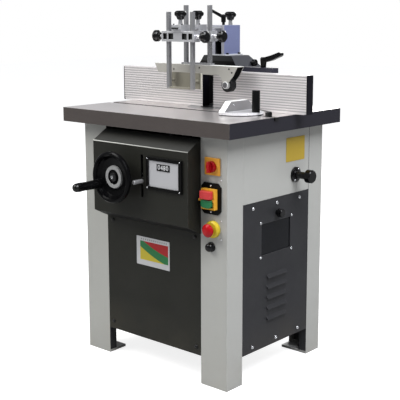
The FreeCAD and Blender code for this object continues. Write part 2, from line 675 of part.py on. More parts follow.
bore = sketch(wheel, "HandleBore", "XY_Plane", rim_d)
ring(bore, crank_x, crank_z, crank_pin + run)
cut(wheel, bore, rim_d)
shaft = body("wheel_shaft", wheel_x, hub_y, wheel_z, TO_FRONT)
shaft_in = hub_y - screw_y + screw_r + 8
turned(shaft, "Shaft", [(0, shaft_in), (shaft_r, shaft_in), (shaft_r, web_t + 10), (cap_r, web_t + 10),
                        (cap_r, web_t + 16), (0, web_t + 18)])
crank = body("crank_handle", wheel_x + crank_x, hub_y - rim_d, wheel_z + crank_z, TO_FRONT)
turned(crank, "Crank", [(0, web_t + 8 - rim_d), (crank_pin, web_t + 8 - rim_d), (crank_pin, 0.3),
                        (crank_t - 2, 0.3), (crank_t, 5), (crank_t, 16), (crank_t - 1, crank_l / 2),
                        (crank_t, crank_l - 22), (crank_t - 1, crank_l - 9), (crank_t - 4, crank_l - 3),
                        (crank_t - 9, crank_l), (0, crank_l)])

# Cast table: ground skin, rim, ribs, leg pads, spindle throat and mitre slot
deck = body("worktable", tab_ox, tab_oy, tab_h - tab_t)
half_w = tab_w / 2
half_d = tab_d / 2
item = sketch(deck, "TableOutline", "XY_Plane")
rect(item, -half_w, -half_d, half_w, half_d)
pad(deck, item, tab_t)
item = sketch(deck, "TableHollow", "XY_Plane")
rect(item, tab_wall - half_w, tab_wall - half_d, half_w - tab_wall, half_d - tab_wall)
cut(deck, item, tab_t - tab_skin, True)
item = sketch(deck, "TableRibs", "XY_Plane", tab_t - tab_skin + 1)
for sy in (-1, 1):
    low = cab_d * (0.5 * sy) - tab_oy - leg_s * (0.5 * sy + 0.5)
    rect(item, 1 - half_w, low, half_w - 1, low + leg_s)
pad(deck, item, tab_t - tab_skin + 1, True)
item = sketch(deck, "TableThroat", "XY_Plane")
ring(item, -tab_ox, sp_y - tab_oy, throat_r)
cut(deck, item, tab_t, True)
item = sketch(deck, "RingSeat", "XY_Plane", tab_t)
ring(item, -tab_ox, sp_y - tab_oy, ring_r + seam)
cut(deck, item, ring_t)
item = sketch(deck, "MitreSlot", "XY_Plane", tab_t)
rect(item, -half_w - 1, groove_y - tab_oy - groove_w / 2, half_w + 1, groove_y - tab_oy + groove_w / 2)
cut(deck, item, groove_d)

insert = body("table_ring", 0, sp_y, tab_h - ring_t)
turned(insert, "Ring", [(ring_in, 0), (ring_r, 0), (ring_r, ring_t), (ring_in, ring_t)])

# Spindle sleeve guide under the table
under = tab_h - tab_skin
guide = body("spindle_guide", 0, sp_y, 0)
gin = quill_r + run
turned(guide, "Guide", [(gin, guide_lo), (gin + guide_t, guide_lo), (gin + guide_t, under - 12),
                        (throat_r + 30, under - 12), (throat_r + 30, under), (gin, under)])

# Lift: plate carrying sleeve and motor, and the arm that shows the height in the slot
lift = body("lift_plate", 0, 0, plate_z)
item = sketch(lift, "LiftPlate", "XY_Plane")
rect(item, wheel_x - 40, screw_y - 34, mot_x + mot_r + 10, sp_y + quill_r + 25)
pad(lift, item, plate_t)
item = sketch(lift, "LiftHoles", "XY_Plane")
ring(item, 0, sp_y, sp_r + slip)
ring(item, mot_x, 0, mot_sh + slip)
ring(item, wheel_x, screw_y, screw_r + slip)
cut(lift, item, plate_t, True)
item = sketch(lift, "LockPost", "XY_Plane", plate_t - 1)
rect(item, slit_x - 8, screw_y - 34, slit_x + 8, screw_y - 22)
pad(lift, item, lock_z - plate_z - plate_t + 13)
item = sketch(lift, "LockArm", "XZ_Plane", -(face_y + gauge + slip))
rect(item, slit_x - 8, lock_z - plate_z - 12, slit_x + 8, lock_z - plate_z + 12)
pad(lift, item, screw_y - 28 - face_y - gauge, True)
item = sketch(lift, "LockThread", "XZ_Plane", -(face_y + gauge + slip))
ring(item, slit_x, lock_z - plate_z, 3.5 + run)
cut(lift, item, 20)

quill = body("spindle_sleeve", 0, sp_y, plate_z + plate_t)
turned(quill, "Sleeve", [(sp_r + run, 0), (quill_r, 0), (quill_r, quill_hi - plate_z - plate_t),
                         (sp_r + run, quill_hi - plate_z - plate_t)])
spindle = body("spindle", 0, sp_y, 0)
turned(spindle, "Spindle", [(0, pul_lo), (pul_r, pul_lo), (pul_r, pul_lo + 6), (pul_r - 4, pul_lo + 9),
                            (pul_r - 4, pul_lo + pul_h - 9), (pul_r, pul_lo + pul_h - 6),
                            (pul_r, pul_lo + pul_h), (sp_r, pul_lo + pul_h), (sp_r, quill_hi + 2),
                            (sp_r + 7, quill_hi + 2), (sp_r + 7, quill_hi + 12), (sp_r, quill_hi + 12),
                            (sp_r, nose_z - 3), (sp_r - 3, nose_z), (0, nose_z)])
motor = body("motor", mot_x, 0, plate_z + plate_t)
turned(motor, "Motor", [(mot_sh + run, 0), (mot_r, 0), (mot_r, 10), (mot_r - 5, 12),
                        (mot_r - 5, mot_h - mot_cap - 2), (mot_r, mot_h - mot_cap), (mot_r, mot_h - 4),
                        (mot_r - 6, mot_h), (0, mot_h), (0, mot_h - 20), (mot_sh + run, mot_h - 20)])
rotor = body("motor_pulley", mot_x, 0, 0)
turned(rotor, "Rotor", [(0, pul_lo), (mpul_r, pul_lo), (mpul_r, pul_lo + 6), (mpul_r - 4, pul_lo + 9),
                        (mpul_r - 4, pul_lo + pul_h - 9), (mpul_r, pul_lo + pul_h - 6),
                        (mpul_r, pul_lo + pul_h), (mot_sh, pul_lo + pul_h),
                        (mot_sh, plate_z + plate_t + mot_h - 22), (0, plate_z + plate_t + mot_h - 22)])

# Belt round both pulleys, drawn from the two pulley radii and their centre distance
r1 = num(pul_r) - 4 + num(slip)
r2 = num(mpul_r) - 4 + num(slip)
c1 = V(0, num(sp_y), 0)
c2 = V(num(mot_x), 0, 0)
span = (c2 - c1).Length
lead = math.atan2(c2.y - c1.y, c2.x - c1.x)
lean = math.acos((r1 - r2) / span)


def belt_outline(extra):
    up = V(math.cos(lead + lean), math.sin(lead + lean), 0)
    dn = V(math.cos(lead - lean), math.sin(lead - lean), 0)
    far = V(math.cos(lead), math.sin(lead), 0)
    a = c1 + up * (r1 + extra)
    b = c2 + up * (r2 + extra)
    c = c2 + dn * (r2 + extra)
    d = c1 + dn * (r1 + extra)
    edges = [Part.LineSegment(a, b).toShape(), Part.Arc(b, c2 + far * (r2 + extra), c).toShape(),
             Part.LineSegment(c, d).toShape(), Part.Arc(d, c1 - far * (r1 + extra), a).toShape()]
    return Part.Face(Part.Wire(edges))


belt = doc.addObject("Part::Feature", "drive_belt")
belt.Label = "drive_belt"
belt.Shape = belt_outline(num(belt_t)).cut(belt_outline(0)).extrude(V(0, 0, num(belt_w)))
place(belt, 0, 0, pul_lo + (pul_h - belt_w) / 2)
nodes.append(belt)

# Lift screw between the lift plate and the table
screw = body("lift_screw", wheel_x, screw_y, 0)
screw_lo = plate_z - screw_tail
turned(screw, "Screw", [(0, screw_lo), (screw_r, screw_lo), (screw_r, under - screw_cap),
                        (screw_cap_r, under - screw_cap), (screw_cap_r, under - slip), (0, under - slip)])

# Height lock screw standing out of the slot
lock = body("height_lock", slit_x, face_y, lock_z, TO_FRONT)
turned(lock, "Lock", [(0, -gauge - 14), (3.5, -gauge - 14), (3.5, slip), (7, slip), (7, lock_l - 2),
                      (5.5, lock_l), (0, lock_l)])

# Hood casting behind the fence: walls, tapered roof, open throat and dust port
cast = body("fence_hood", 0, 0, tab_h + slip)
hd_front = fen_y + fen_t + slip
item = sketch(cast, "HoodPlan", "XY_Plane")
rect(item, -hd_left, hd_front, hd_w, hd_back)
pad(cast, item, hd_z - tab_h)
low = sketch(cast, "RoofLow", "XY_Plane", hd_z - tab_h)
rect(low, -hd_left, hd_front, hd_w, hd_back)
high = sketch(cast, "RoofHigh", "XY_Plane", hd_top - tab_h)
rect(high, -hd_top_w, tow_y - 4, hd_top_w, tow_y + tow_d + 6)
roofing = cast.newObject("PartDesign::AdditiveLoft", "Roof")
roofing.Profile = low
roofing.Sections = [high]
roofing.Ruled = True
item = sketch(cast, "HoodThroat", "XY_Plane")
rect(item, hd_wall - hd_left, hd_front - 5, hd_w - hd_wall, hd_back - hd_wall)
cut(cast, item, hd_z - tab_h - hd_wall, True)
item = sketch(cast, "Port", "XZ_Plane", -hd_back)
ring(item, 0, port_z - tab_h, port_r)
pad(cast, item, port_l, True)
item = sketch(cast, "PortBore", "XZ_Plane", -hd_back - port_l)
ring(item, 0, port_z - tab_h, port_r - port_wall)
cut(cast, item, port_l + hd_wall + 4, True)
for name, sx, wall in (("Left", -1, hd_left), ("Right", 1, hd_w)):
    item = sketch(cast, name + "Ear", "XY_Plane")
    rect(item, (wall - 2) * sx, hd_back - 80, (wall + 40) * sx, hd_back - 20)
    pad(cast, item, 14)
    item = sketch(cast, name + "EarSlot", "XY_Plane")
    rect(item, (wall + 14) * sx, hd_back - 68, (wall + 26) * sx, hd_back - 32)
    cut(cast, item, 14, True)


# Fence halves: fluted extrusions with a bolt slot along the back
def fence(label, sx):
    host = body(label, 0, fen_y, tab_h + fen_rise)
    shape = sketch(host, label + "Face", "XZ_Plane")
    near = fen_gap * sx
    far = fen_end * sx
    loop(shape, [(near, 0), (far - 8 * sx, 0), (far, 8), (far, fen_h), (near, fen_h)])
    pad(host, shape, fen_t, True)
    flute = sketch(host, label + "Flute", "XZ_Plane")
    rect(flute, near - sx, flute_lo, far + sx, flute_w + flute_lo)
    row(host, cut(host, flute, flute_d), "Z_Axis", flute_p, flute_n)
    neck = sketch(host, label + "SlotNeck", "XZ_Plane", -fen_t)
    rect(neck, near - sx, fen_h / 2 - 4, far + sx, fen_h / 2 + 4)
    cut(host, neck, 14, True)
    wide = sketch(host, label + "SlotWide", "XZ_Plane", -fen_t + 6)
    rect(wide, near - sx, fen_h / 2 - 8, far + sx, fen_h / 2 + 8)
    host.Tip = cut(host, wide, 8, True)


fence("left_fence", -1)
fence("right_fence", 1)

# Rail behind the right fence, with its clamp lever
rail = body("fence_rail", 0, fen_y + fen_t, tab_h + fen_rise + fen_h - 2)
item = sketch(rail, "Rail", "XY_Plane")
rect(item, hd_w + 4, 0, rail_end, rail_d)
pad(rail, item, rail_h)
item = sketch(rail, "RailFoot", "XY_Plane")
rect(item, hd_w + 4, 0, rail_end, rail_web)
pad(rail, item, rail_foot, True)
item = sketch(rail, "RailBore", "XY_Plane", rail_h)
ring(item, lev_x, lev_y - fen_y - fen_t, 5 + run)
cut(rail, item, 14)


# Fence clamp lever: an upright hub with a thick rising handle
host = body("fence_lever", lev_x, lev_y, tab_h + fen_rise + fen_h - 2 + rail_h)
turned(host, "FenceHub", [(0, -10), (5, -10), (5, 0.3), (lev_r - 2, 0.3), (lev_r, 24), (lev_r, lev_h - 4),
                          (lev_r - 3, lev_h), (0, lev_h)])
item = sketch(host, "FenceHandle", "XZ_Plane", -8)
loop(item, [(0, lev_h - 19), (lev_l / 2, lev_h - 10), (lev_l - 3, lev_h + 4), (lev_l + 3, lev_h + 9),
            (lev_l + 2, lev_h + 16), (lev_l - 5, lev_h + 19), (lev_l / 2, lev_h + 8), (0, lev_h - 2)])
pad(host, item, 16)

# Hold-down tower: box with an open front and a slot for the reach arm
tower = body("hold_down_tower", 0, tow_y, hd_top + slip)
item = sketch(tower, "TowerPlan", "XY_Plane")
rect(item, -tow_w, 0, tow_w, tow_d)
pad(tower, item, tow_h)
item = sketch(tower, "TowerFlange", "XY_Plane")
rect(item, -tow_w - 8, -3, tow_w + 8, tow_d + 5)
pad(tower, item, 4)
item = sketch(tower, "TowerMouth", "XZ_Plane")
rect(item, tow_t + 8 - tow_w, 4, tow_w - tow_t - 8, tow_h / 2)
cut(tower, item, tow_d - tow_t)
item = sketch(tower, "TowerSlot", "XZ_Plane")
arm_low = arm_z - hd_top - slip
rect(item, arm_w / -2 - slip, arm_low - slip, arm_w / 2 + slip, arm_low + arm_t + slip)
cut(tower, item, tow_d)
tow_top = hd_top + slip + tow_h
lev2_y = tow_y + tow_d - 58
kn_y = tow_y + tow_d - 20
item = sketch(tower, "TowerStuds", "XY_Plane", tow_h)
ring(item, 0, lev2_y - tow_y, 5 + run)
cut(tower, item, tow_top - arm_z - arm_t)
item = sketch(tower, "TowerKnobStud", "XY_Plane", tow_h)
ring(item, 0, kn_y - tow_y, 5 + run)
cut(tower, item, tow_top - arm_z - arm_t)


def short_lever(label, x, y, z):
    host = body(label, x, y, z)
    turned(host, label + "Hub", [(0, -4), (5, -4), (5, 0.3), (5, 9), (8, 10), (9, 34), (7, 37), (0, 37)])
    shape = sketch(host, label + "Arm", "XZ_Plane", -5)
    loop(shape, [(0, 22), (-50, 44), (-54, 50), (-49, 55), (0, 35)])
    pad(host, shape, 10)


short_lever("tower_lever", 0, lev2_y, tow_top)

# Reach arm
arm = body("reach_arm", 0, 0, arm_z)
item = sketch(arm, "Arm", "XY_Plane")
rect(item, arm_w / -2, arm_front, arm_w / 2, arm_back)
pad(arm, item, arm_t)


# Clamp channels that hold the square bars, with a bracket riding on the reach arm
def clamp(label, y):
    host = body(label, 0, y, clamp_lo)
    shape = sketch(host, label + "Block", "XY_Plane")
    rect(shape, -clamp_w, clamp_d / -2, clamp_w, clamp_d / 2)
    pad(host, shape, clamp_h)
    shape = sketch(host, label + "Bracket", "XY_Plane", clamp_h - 1)
    rect(shape, brk_w / -2, brk_d / -2, brk_w / 2, brk_d / 2)
    pad(host, shape, brk_h + 1)
    shape = sketch(host, label + "ArmWay", "XZ_Plane", brk_d)
    rect(shape, arm_w / -2 - slip, arm_z - clamp_lo - slip, arm_w / 2 + slip, arm_z + arm_t - clamp_lo + slip)
    cut(host, shape, brk_d * 2)
    for sx in (-1, 1):
        side = "Right" if sx > 0 else "Left"
        way = sketch(host, label + side + "BarWay", "XY_Plane")
        grip = bar_s / 2 + slip
        rect(way, bar_x * sx - grip, -grip, bar_x * sx + grip, grip)
        cut(host, way, clamp_h, True)
        for name, near, far in (("OuterWindow", bar_x + 12, bar_x - 5),
                                ("InnerWindow", bar_x - 12, bar_x - 34)):
            window = sketch(host, label + side + name, "XZ_Plane", clamp_d / 2)
            rect(window, near * sx, (clamp_h - pane_h) / 2, far * sx, (clamp_h + pane_h) / 2)
            cut(host, window, pane_d)
        stud = sketch(host, label + side + "Stud", "YZ_Plane", clamp_w * sx)
        ring(stud, 0, clamp_h / 2, stud_r + run)
        cut(host, stud, stud_l + 2, sx < 0)
    stud = sketch(host, label + "TopStud", "XY_Plane", clamp_h + brk_h)
    ring(stud, 0, 0, stud_r + run)
    cut(host, stud, clamp_lo + clamp_h + brk_h - arm_z - arm_t)


clamp("rear_clamp", rear_y)
clamp("front_clamp", front_y)


# Star knobs: a fluted head on a tapered boss and a stud
def star(label, x, y, z, turn, stud):
    host = body(label, x, y, z, turn)
    turned(host, label + "Body", [(0, -stud), (stud_r, -stud), (stud_r, 0.3), (7.5, 0.3), (6.5, kn_h - 30),
                                  (11, kn_h - 28), (14, kn_h - 20), (kn_r - 2, kn_h - 17), (kn_r, kn_h - 13),
                                  (kn_r, kn_h - 6), (kn_r - 5, kn_h - 1), (kn_r - 11, kn_h), (0, kn_h)])
    scallop = sketch(host, label + "Scallop", "XY_Plane", kn_h - 19)
    ring(scallop, kn_r + 4, 0, 7)
    polar(host, cut(host, scallop, kn_h, True), 6)


clamp_mid = clamp_lo + clamp_h / 2
bracket_top = clamp_lo + clamp_h + brk_h
top_stud = bracket_top - arm_z - arm_t - slip
star("front_knob_left", -clamp_w, front_y, clamp_mid, TO_LEFT, stud_l)
star("front_knob_right", clamp_w, front_y, clamp_mid, TO_RIGHT, stud_l)
star("rear_knob_left", -clamp_w, rear_y, clamp_mid, TO_LEFT, stud_l)
star("rear_knob_right", clamp_w, rear_y, clamp_mid, TO_RIGHT, stud_l)
star("front_knob_top", 0, front_y, bracket_top, None, top_stud)
star("rear_knob_top", 0, rear_y, bracket_top, None, top_stud)
star("tower_knob", 0, kn_y, tow_top, None, 4)


# Bars welded to a cross strip: one pair carries the shoe, the other the press plate
def bars(label, y, low, high, lap, depth):
    host = body(label, 0, y, low)
    for name, x in (("Left", -bar_x), ("Right", bar_x)):
        shape = sketch(host, label + name, "XY_Plane")
        rect(shape, x - bar_s / 2, bar_s / -2, x + bar_s / 2, bar_s / 2)
        pad(host, shape, high - low)
        if name == "Left":
            strip = sketch(host, label + "Strip", "XY_Plane")
            rect(strip, -bar_x - lap, depth / -2, bar_x + lap, depth / 2)
            pad(host, strip, strip_t)


bars("shoe_bars", rear_y, shoe_top, rear_top, bar_s, strip_d)
bars("press_bars", front_y, pad_lo, front_top, bar_s / 2, bar_s)

# Pressure shoe: an open channel with a tongue for the roller at the infeed end
shoe = body("pressure_shoe", 0, rear_y, 0)
item = sketch(shoe, "ShoeSide", "XZ_Plane", shoe_d / 2)
loop(item, [(17 - shoe_l, shoe_lo), (roll_x - 24, shoe_lo), (roll_x - 14, roll_z + 10),
            (roll_x - 11, roll_z - 5), (roll_x - 5, roll_z - 10), (roll_x + 5, roll_z - 10),
            (roll_x + 11, roll_z - 5), (roll_x + 13, roll_z + 9), (roll_x + 32, shoe_lo), (shoe_l, shoe_top),
            (-shoe_l, shoe_top)])
pad(shoe, item, shoe_d, True)
item = sketch(shoe, "ShoeInside", "XY_Plane", shoe_top - shoe_t)
rect(item, -shoe_l - 1, shoe_t - shoe_d / 2, shoe_l + 1, shoe_d / 2 - shoe_t)
cut(shoe, item, 90)
item = sketch(shoe, "AxleBore", "XZ_Plane", shoe_d)
ring(item, roll_x, roll_z, axle_r + run)
cut(shoe, item, shoe_d * 2)
roller = body("shoe_roller", roll_x, rear_y, roll_z, TO_FRONT)
cheek = shoe_d / 2 + slip
axle_end = cheek + 2.7
tread = roll_w / 2
turned(roller, "Roller", [(0, -axle_end), (axle_cap - 1, -axle_end), (axle_cap, 1 - axle_end),
                          (axle_cap, -cheek), (axle_r, -cheek), (axle_r, -tread), (axle_r + 4, -tread),
                          (axle_r + 6, 3 - tread), (roll_r - 7, 3 - tread), (roll_r - 6, -tread),
                          (roll_r - 3, -tread), (roll_r, 3 - tread), (roll_r, tread - 3), (roll_r - 3, tread),
                          (roll_r - 6, tread), (roll_r - 7, tread - 3), (axle_r + 6, tread - 3),
                          (axle_r + 4, tread), (axle_r, tread), (axle_r, cheek), (axle_cap, cheek),
                          (axle_cap, axle_end - 1), (axle_cap - 1, axle_end), (0, axle_end)])

# Press plate held behind the front bars
press = body("press_plate", 0, pad_y, pad_lo)
item = sketch(press, "PressFace", "XZ_Plane", pad_t / -2)
rect(item, -pad_w, 0, pad_w, pad_h)
pad(press, item, pad_t)
item = sketch(press, "PressPosts", "XZ_Plane", 1)
for sx in (-1, 1):
    ring(item, bar_x * sx, pad_h / 2, 5)
pad(press, item, pad_y - front_y - bar_s / 2 - 1)

# Mitre gauge: bar in the slot, protractor plate with a raked block, and a handle
slot_floor = tab_h - groove_d
mbar = body("mitre_bar", 0, groove_y, slot_floor + slip)
item = sketch(mbar, "GaugeBar", "XY_Plane")
rect(item, mbar_end - mbar_l, slip - groove_w / 2, mbar_end, groove_w / 2 - slip)
pad(mbar, item, groove_d - slip * 2)
item = sketch(mbar, "PivotPin", "XY_Plane", groove_d - 2)
ring(item, mg_x, 0, pivot_r)
pad(mbar, item, mg_t)

head = body("mitre_head", mg_x, groove_y, tab_h)
disc = sketch(head, "Protractor", "XY_Plane", slip)
geo = disc.addGeometry(Part.ArcOfCircle(Part.Circle(V(0, 0, 0), V(0, 0, 1), num(mg_r)), math.radians(-90),
                                        math.radians(90)))
chord = disc.addGeometry(Part.LineSegment(V(0, num(mg_r), 0), V(0, -num(mg_r), 0)))
disc.addConstraint(Sketcher.Constraint("Coincident", geo, 3, -1, 1))
disc.addConstraint(Sketcher.Constraint("Coincident", geo, 2, chord, 1))
disc.addConstraint(Sketcher.Constraint("Coincident", geo, 1, chord, 2))
disc.addConstraint(Sketcher.Constraint("PointOnObject", chord, 1, -2))
disc.addConstraint(Sketcher.Constraint("PointOnObject", chord, 2, -2))
index = disc.addConstraint(Sketcher.Constraint("Radius", geo, num(mg_r)))
bind(disc, "Constraints[" + str(index) + "]", mg_r)
pad(head, disc, mg_t)
item = sketch(head, "UnderBlock", "XY_Plane", slip)
rect(item, mg_face - mg_x, -mg_r, pivot_r + 8, mg_r)
pad(head, item, mg_t)
item = sketch(head, "Block", "YZ_Plane", mg_face - mg_x)
loop(item, [(-mg_half, mg_t - 1), (mg_half, mg_t - 1), (mg_half - mg_rake, mg_t + mg_top),
            (mg_rake - mg_half, mg_t + mg_top)])
pad(head, item, mg_thick)
item = sketch(head, "PivotBore", "XY_Plane")
ring(item, 0, 0, pivot_r + run)
cut(head, item, mg_t - 1 + slip, True)
item = sketch(head, "HandleBore", "XY_Plane", mg_t + slip)
ring(item, mh_x - mg_x, 0, 5 + run)
cut(head, item, mg_t - 2)

handle = body("mitre_handle", mh_x, groove_y, tab_h + mg_t + slip)
turned(handle, "Handle", [(0, -7), (5, -7), (5, 0.3), (mh_r, 0.3), (mh_r, mh_l - 2), (mh_r - 2, mh_l),
                          (0, mh_l)])

doc.recompute()

# Every feature is sound, every cut removes metal, every piece is one closed solid
for item in doc.Objects:
    if "Invalid" in item.State or "Error" in item.State:
        raise RuntimeError(item.Name + " failed: " + str(item.State))
    if item.TypeId == "PartDesign::Pocket":
        before = item.BaseFeature.Shape.Volume
        if item.Shape.Volume > before - 0.5:
            raise RuntimeError(item.Name + " cuts nothing")
for item in nodes:
    if item.Shape.isNull() or not item.Shape.isValid() or len(item.Shape.Solids) != 1:
        raise RuntimeError(item.Label + " is not one sound solid: " + str(len(item.Shape.Solids)))

os.makedirs("parts", exist_ok=True)
for item in nodes:
    item.Shape.exportStep("parts/" + item.Label + ".step")
print(len(nodes), "nodes")
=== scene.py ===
# %% [markdown]
# A floor-standing spindle moulder, dressed in Blender.
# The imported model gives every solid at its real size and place. This lesson gives each of them a finish
# and adds the small things that a maker screws, presses or prints on at the end.
# All sizes are metres, +Z is up, and the operator stands at -Y.

# %% Load the frame
import json
from math import cos, radians, sin
import bpy
from mathutils import Matrix, Vector


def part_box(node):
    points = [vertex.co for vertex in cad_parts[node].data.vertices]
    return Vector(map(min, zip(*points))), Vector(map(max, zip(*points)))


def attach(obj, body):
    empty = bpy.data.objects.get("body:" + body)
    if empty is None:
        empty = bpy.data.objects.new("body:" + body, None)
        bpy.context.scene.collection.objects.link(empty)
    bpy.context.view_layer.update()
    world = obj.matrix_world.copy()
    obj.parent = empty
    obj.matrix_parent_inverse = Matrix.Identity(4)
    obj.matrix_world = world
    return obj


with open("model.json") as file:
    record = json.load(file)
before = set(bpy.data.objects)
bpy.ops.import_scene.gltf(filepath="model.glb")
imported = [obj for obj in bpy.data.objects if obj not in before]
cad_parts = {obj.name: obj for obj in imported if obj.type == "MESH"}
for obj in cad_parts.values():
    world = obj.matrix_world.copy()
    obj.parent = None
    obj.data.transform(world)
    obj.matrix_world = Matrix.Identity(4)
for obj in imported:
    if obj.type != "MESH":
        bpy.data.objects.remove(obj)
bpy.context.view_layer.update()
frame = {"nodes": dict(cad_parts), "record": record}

nodes = frame["nodes"]

# %% [markdown]
# The camera stands to the right of the machine's front, a little above the table. Its place could be
# guessed by eye, but straight edges in a picture fix it: the corners of the table and the cabinet were
# solved together, which gives the focal length too. The machine isn't centred in the picture, and the small
# shift is for that.

# %% Camera
image_side = 400
sensor = 36
focal_pixels = 917.0
shift_pixels = (-13.5, -36)
camera_at = (2.0665, -2.3592, 1.1906)
camera_turn = (90 - 9.549, 0, 40.566)
bpy.ops.object.camera_add(location=camera_at, rotation=[radians(a) for a in camera_turn])
camera = bpy.context.object
camera.name = "camera"
camera.data.sensor_width = sensor
camera.data.lens = focal_pixels / image_side * sensor
camera.data.shift_x = shift_pixels[0] / image_side
camera.data.shift_y = shift_pixels[1] / image_side
camera.data.clip_end = 50
bpy.context.scene.camera = camera
print("camera: %.1f mm lens at %s" % (camera.data.lens, camera_at))

# %% [markdown]
# A product picture has no hard shadow, so large soft lamps light the machine from above. The key lamp
# stands on the right and lights the side panels. The fill lamp stands left of the front, so that the
# table's edge and the control box shade the legs softly. Bright metal shows what stands round it, and the
# back lamp is there for the table top to mirror. The rear lamp lights the sides that the picture doesn't
# show, so that the machine can be looked at from all round.

# %% Lamps
def lamp(name, at, aim, power, size, colour=(1, 1, 1)):
    bpy.ops.object.light_add(type="AREA", location=at)
    made = bpy.context.object
    made.name = name
    made.data.energy = power
    made.data.size = size
    made.data.color = colour
    made.rotation_euler = (Vector(aim) - Vector(at)).to_track_quat("-Z", "Y").to_euler()
    print("lamp:", name, power, "W")


middle = (0, 0, 0.6)
low_middle = (0, 0, 0.4)
lamp("key_lamp", (2.5, -0.5, 4.1), middle, 282, 2.6, (0.95, 0.965, 1))
lamp("fill_lamp", (-2.2, -2.8, 3.9), middle, 218, 2.6, (1, 1, 0.97))
lamp("back_lamp", (-3.2, 1.9, 1.7), middle, 1.5, 1.6)
lamp("rear_lamp", (-1.1, 3.5, 2.2), low_middle, 75, 2.2, (1, 1, 0.98))

# %% [markdown]
# The room, the floor and every finish are node trees, and most of them need the same few steps.
# Short helpers that make a node, fill its sockets and wire its inputs keep the recipes readable.

# %% Helpers for node trees
def seen(r, g, b):
    """A colour as the eye sees it, 0 to 255, as the linear colour that a shader takes."""
    parts = [v / 255 for v in (r, g, b)]
    return tuple(v / 12.92 if v < 0.04045 else ((v + 0.055) / 1.055) ** 2.4 for v in parts) + (1,)


def node(tree, kind, sockets, **settings):
    made = tree.nodes.new("ShaderNode" + kind)
    for key, value in settings.items():
        setattr(made, key, value)
    for key, value in sockets.items():
        if isinstance(value, bpy.types.NodeSocket):
            tree.links.new(value, made.inputs[key])
        else:
            made.inputs[key].default_value = value
    return made


def sums(tree, operation, first, second=0.0):
    return node(tree, "Math", {0: first, 1: second}, operation=operation).outputs[0]


def times(tree, first, second):
    return sums(tree, "MULTIPLY", first, second)


def between(tree, value, low, high):
    above = sums(tree, "GREATER_THAN", value, low)
    return times(tree, above, sums(tree, "LESS_THAN", value, high))


def spread(tree, value, low, high, first=0.0, last=1.0):
    sockets = {"Value": value, "From Min": low, "From Max": high, "To Min": first, "To Max": last}
    return node(tree, "MapRange", sockets).outputs[0]


def blend(tree, factor, first, second):
    return node(tree, "Mix", {0: factor, 6: first, 7: second}, data_type="RGBA").outputs[2]


print("node helpers ready")

# %% [markdown]
# The room is white for the camera only. As a lamp it is weak, because light from all sides makes a picture
# flat. White walls could be built, but they would light the machine too. Two backgrounds and a question
# about the ray do it without any.

# %% Room
world = bpy.data.worlds.new("pale_room")
bpy.context.scene.world = world
world.use_nodes = True
room = world.node_tree
glow = room.nodes["Background"]
glow.inputs["Color"].default_value = (0.93, 0.95, 1, 1)
glow.inputs["Strength"].default_value = 0.32
wall = node(room, "Background", {"Color": (1, 1, 1, 1)})
rays = node(room, "LightPath", {})
choice = node(room, "MixShader", {0: rays.outputs["Is Camera Ray"], 1: glow.outputs[0], 2: wall.outputs[0]})
room.links.new(choice.outputs[0], room.nodes["World Output"].inputs["Surface"])
bpy.context.scene.view_settings.view_transform = "Standard"
print("room:", world.name)

# %% [markdown]
# The floor is treated alike. It is grey paper for the light, so that dark paint stays dark above it, and a
# glow that only the camera sees lifts it to white. The machine's soft shadow still shows on it.

# %% Floor
floor_glow = 0.84
bpy.ops.object.select_all(action="DESELECT")
bpy.ops.mesh.primitive_plane_add(size=30)
floor = bpy.context.object
floor.name = "floor"
paper = bpy.data.materials.new("pale_floor")
paper.use_nodes = True
paper_tree = paper.node_tree
paper_shader = paper_tree.nodes["Principled BSDF"]
paper_shader.inputs["Base Color"].default_value = (0.45, 0.45, 0.45, 1)
paper_shader.inputs["Roughness"].default_value = 0.9
paper_shader.inputs["Emission Color"].default_value = (1, 1, 1, 1)
rays = node(paper_tree, "LightPath", {})
lift = times(paper_tree, rays.outputs["Is Camera Ray"], floor_glow)
paper_tree.links.new(lift, paper_shader.inputs["Emission Strength"])
floor.data.materials.append(paper)
print("floor:", paper.name)

# %% [markdown]
# No real edge is perfectly sharp. Paint is thin there and catches the light, and bare metal is polished.
# The Bevel node gives the normal of a rounded edge without touching the mesh. Where that normal leaves the
# face's own, there is an edge, and a little noise breaks it up so that it doesn't look drawn.

# %% Effect: worn edges
def effect(name, inputs, outputs):
    tree = bpy.data.node_groups.new(name, "ShaderNodeTree")
    for key, kind, value in inputs:
        tree.interface.new_socket(key, in_out="INPUT", socket_type=kind).default_value = value
    for key, kind in outputs:
        tree.interface.new_socket(key, in_out="OUTPUT", socket_type=kind)
    return tree, tree.nodes.new("NodeGroupInput"), tree.nodes.new("NodeGroupOutput")


wear_tree, wear_in, wear_out = effect(
    "worn_edges", [("Radius", "NodeSocketFloat", 0.0015)],
    [("Mask", "NodeSocketFloat"), ("Normal", "NodeSocketVector")])
soft = node(wear_tree, "Bevel", {"Radius": wear_in.outputs["Radius"]}, samples=6).outputs[0]
facing = node(wear_tree, "NewGeometry", {}).outputs["Normal"]
agree = node(wear_tree, "VectorMath", {0: soft, 1: facing}, operation="DOT_PRODUCT").outputs["Value"]
spot = node(wear_tree, "TexCoord", {}).outputs["Object"]
chips = node(wear_tree, "TexNoise", {"Vector": spot, "Scale": 85, "Detail": 4}).outputs[0]
edge = spread(wear_tree, agree, 0.995, 0.86)
chipped = times(wear_tree, edge, spread(wear_tree, chips, 0.3, 0.62))
wear_tree.links.new(chipped, wear_out.inputs["Mask"])
wear_tree.links.new(soft, wear_out.inputs["Normal"])
print("effect:", wear_tree.name)

# %% [markdown]
# Powder coat has a fine pebble, a casting has a coarse one, and a brushed or ground face has long scratches.
# All three are the same noise at another scale, and scratches are the noise stretched along one axis.

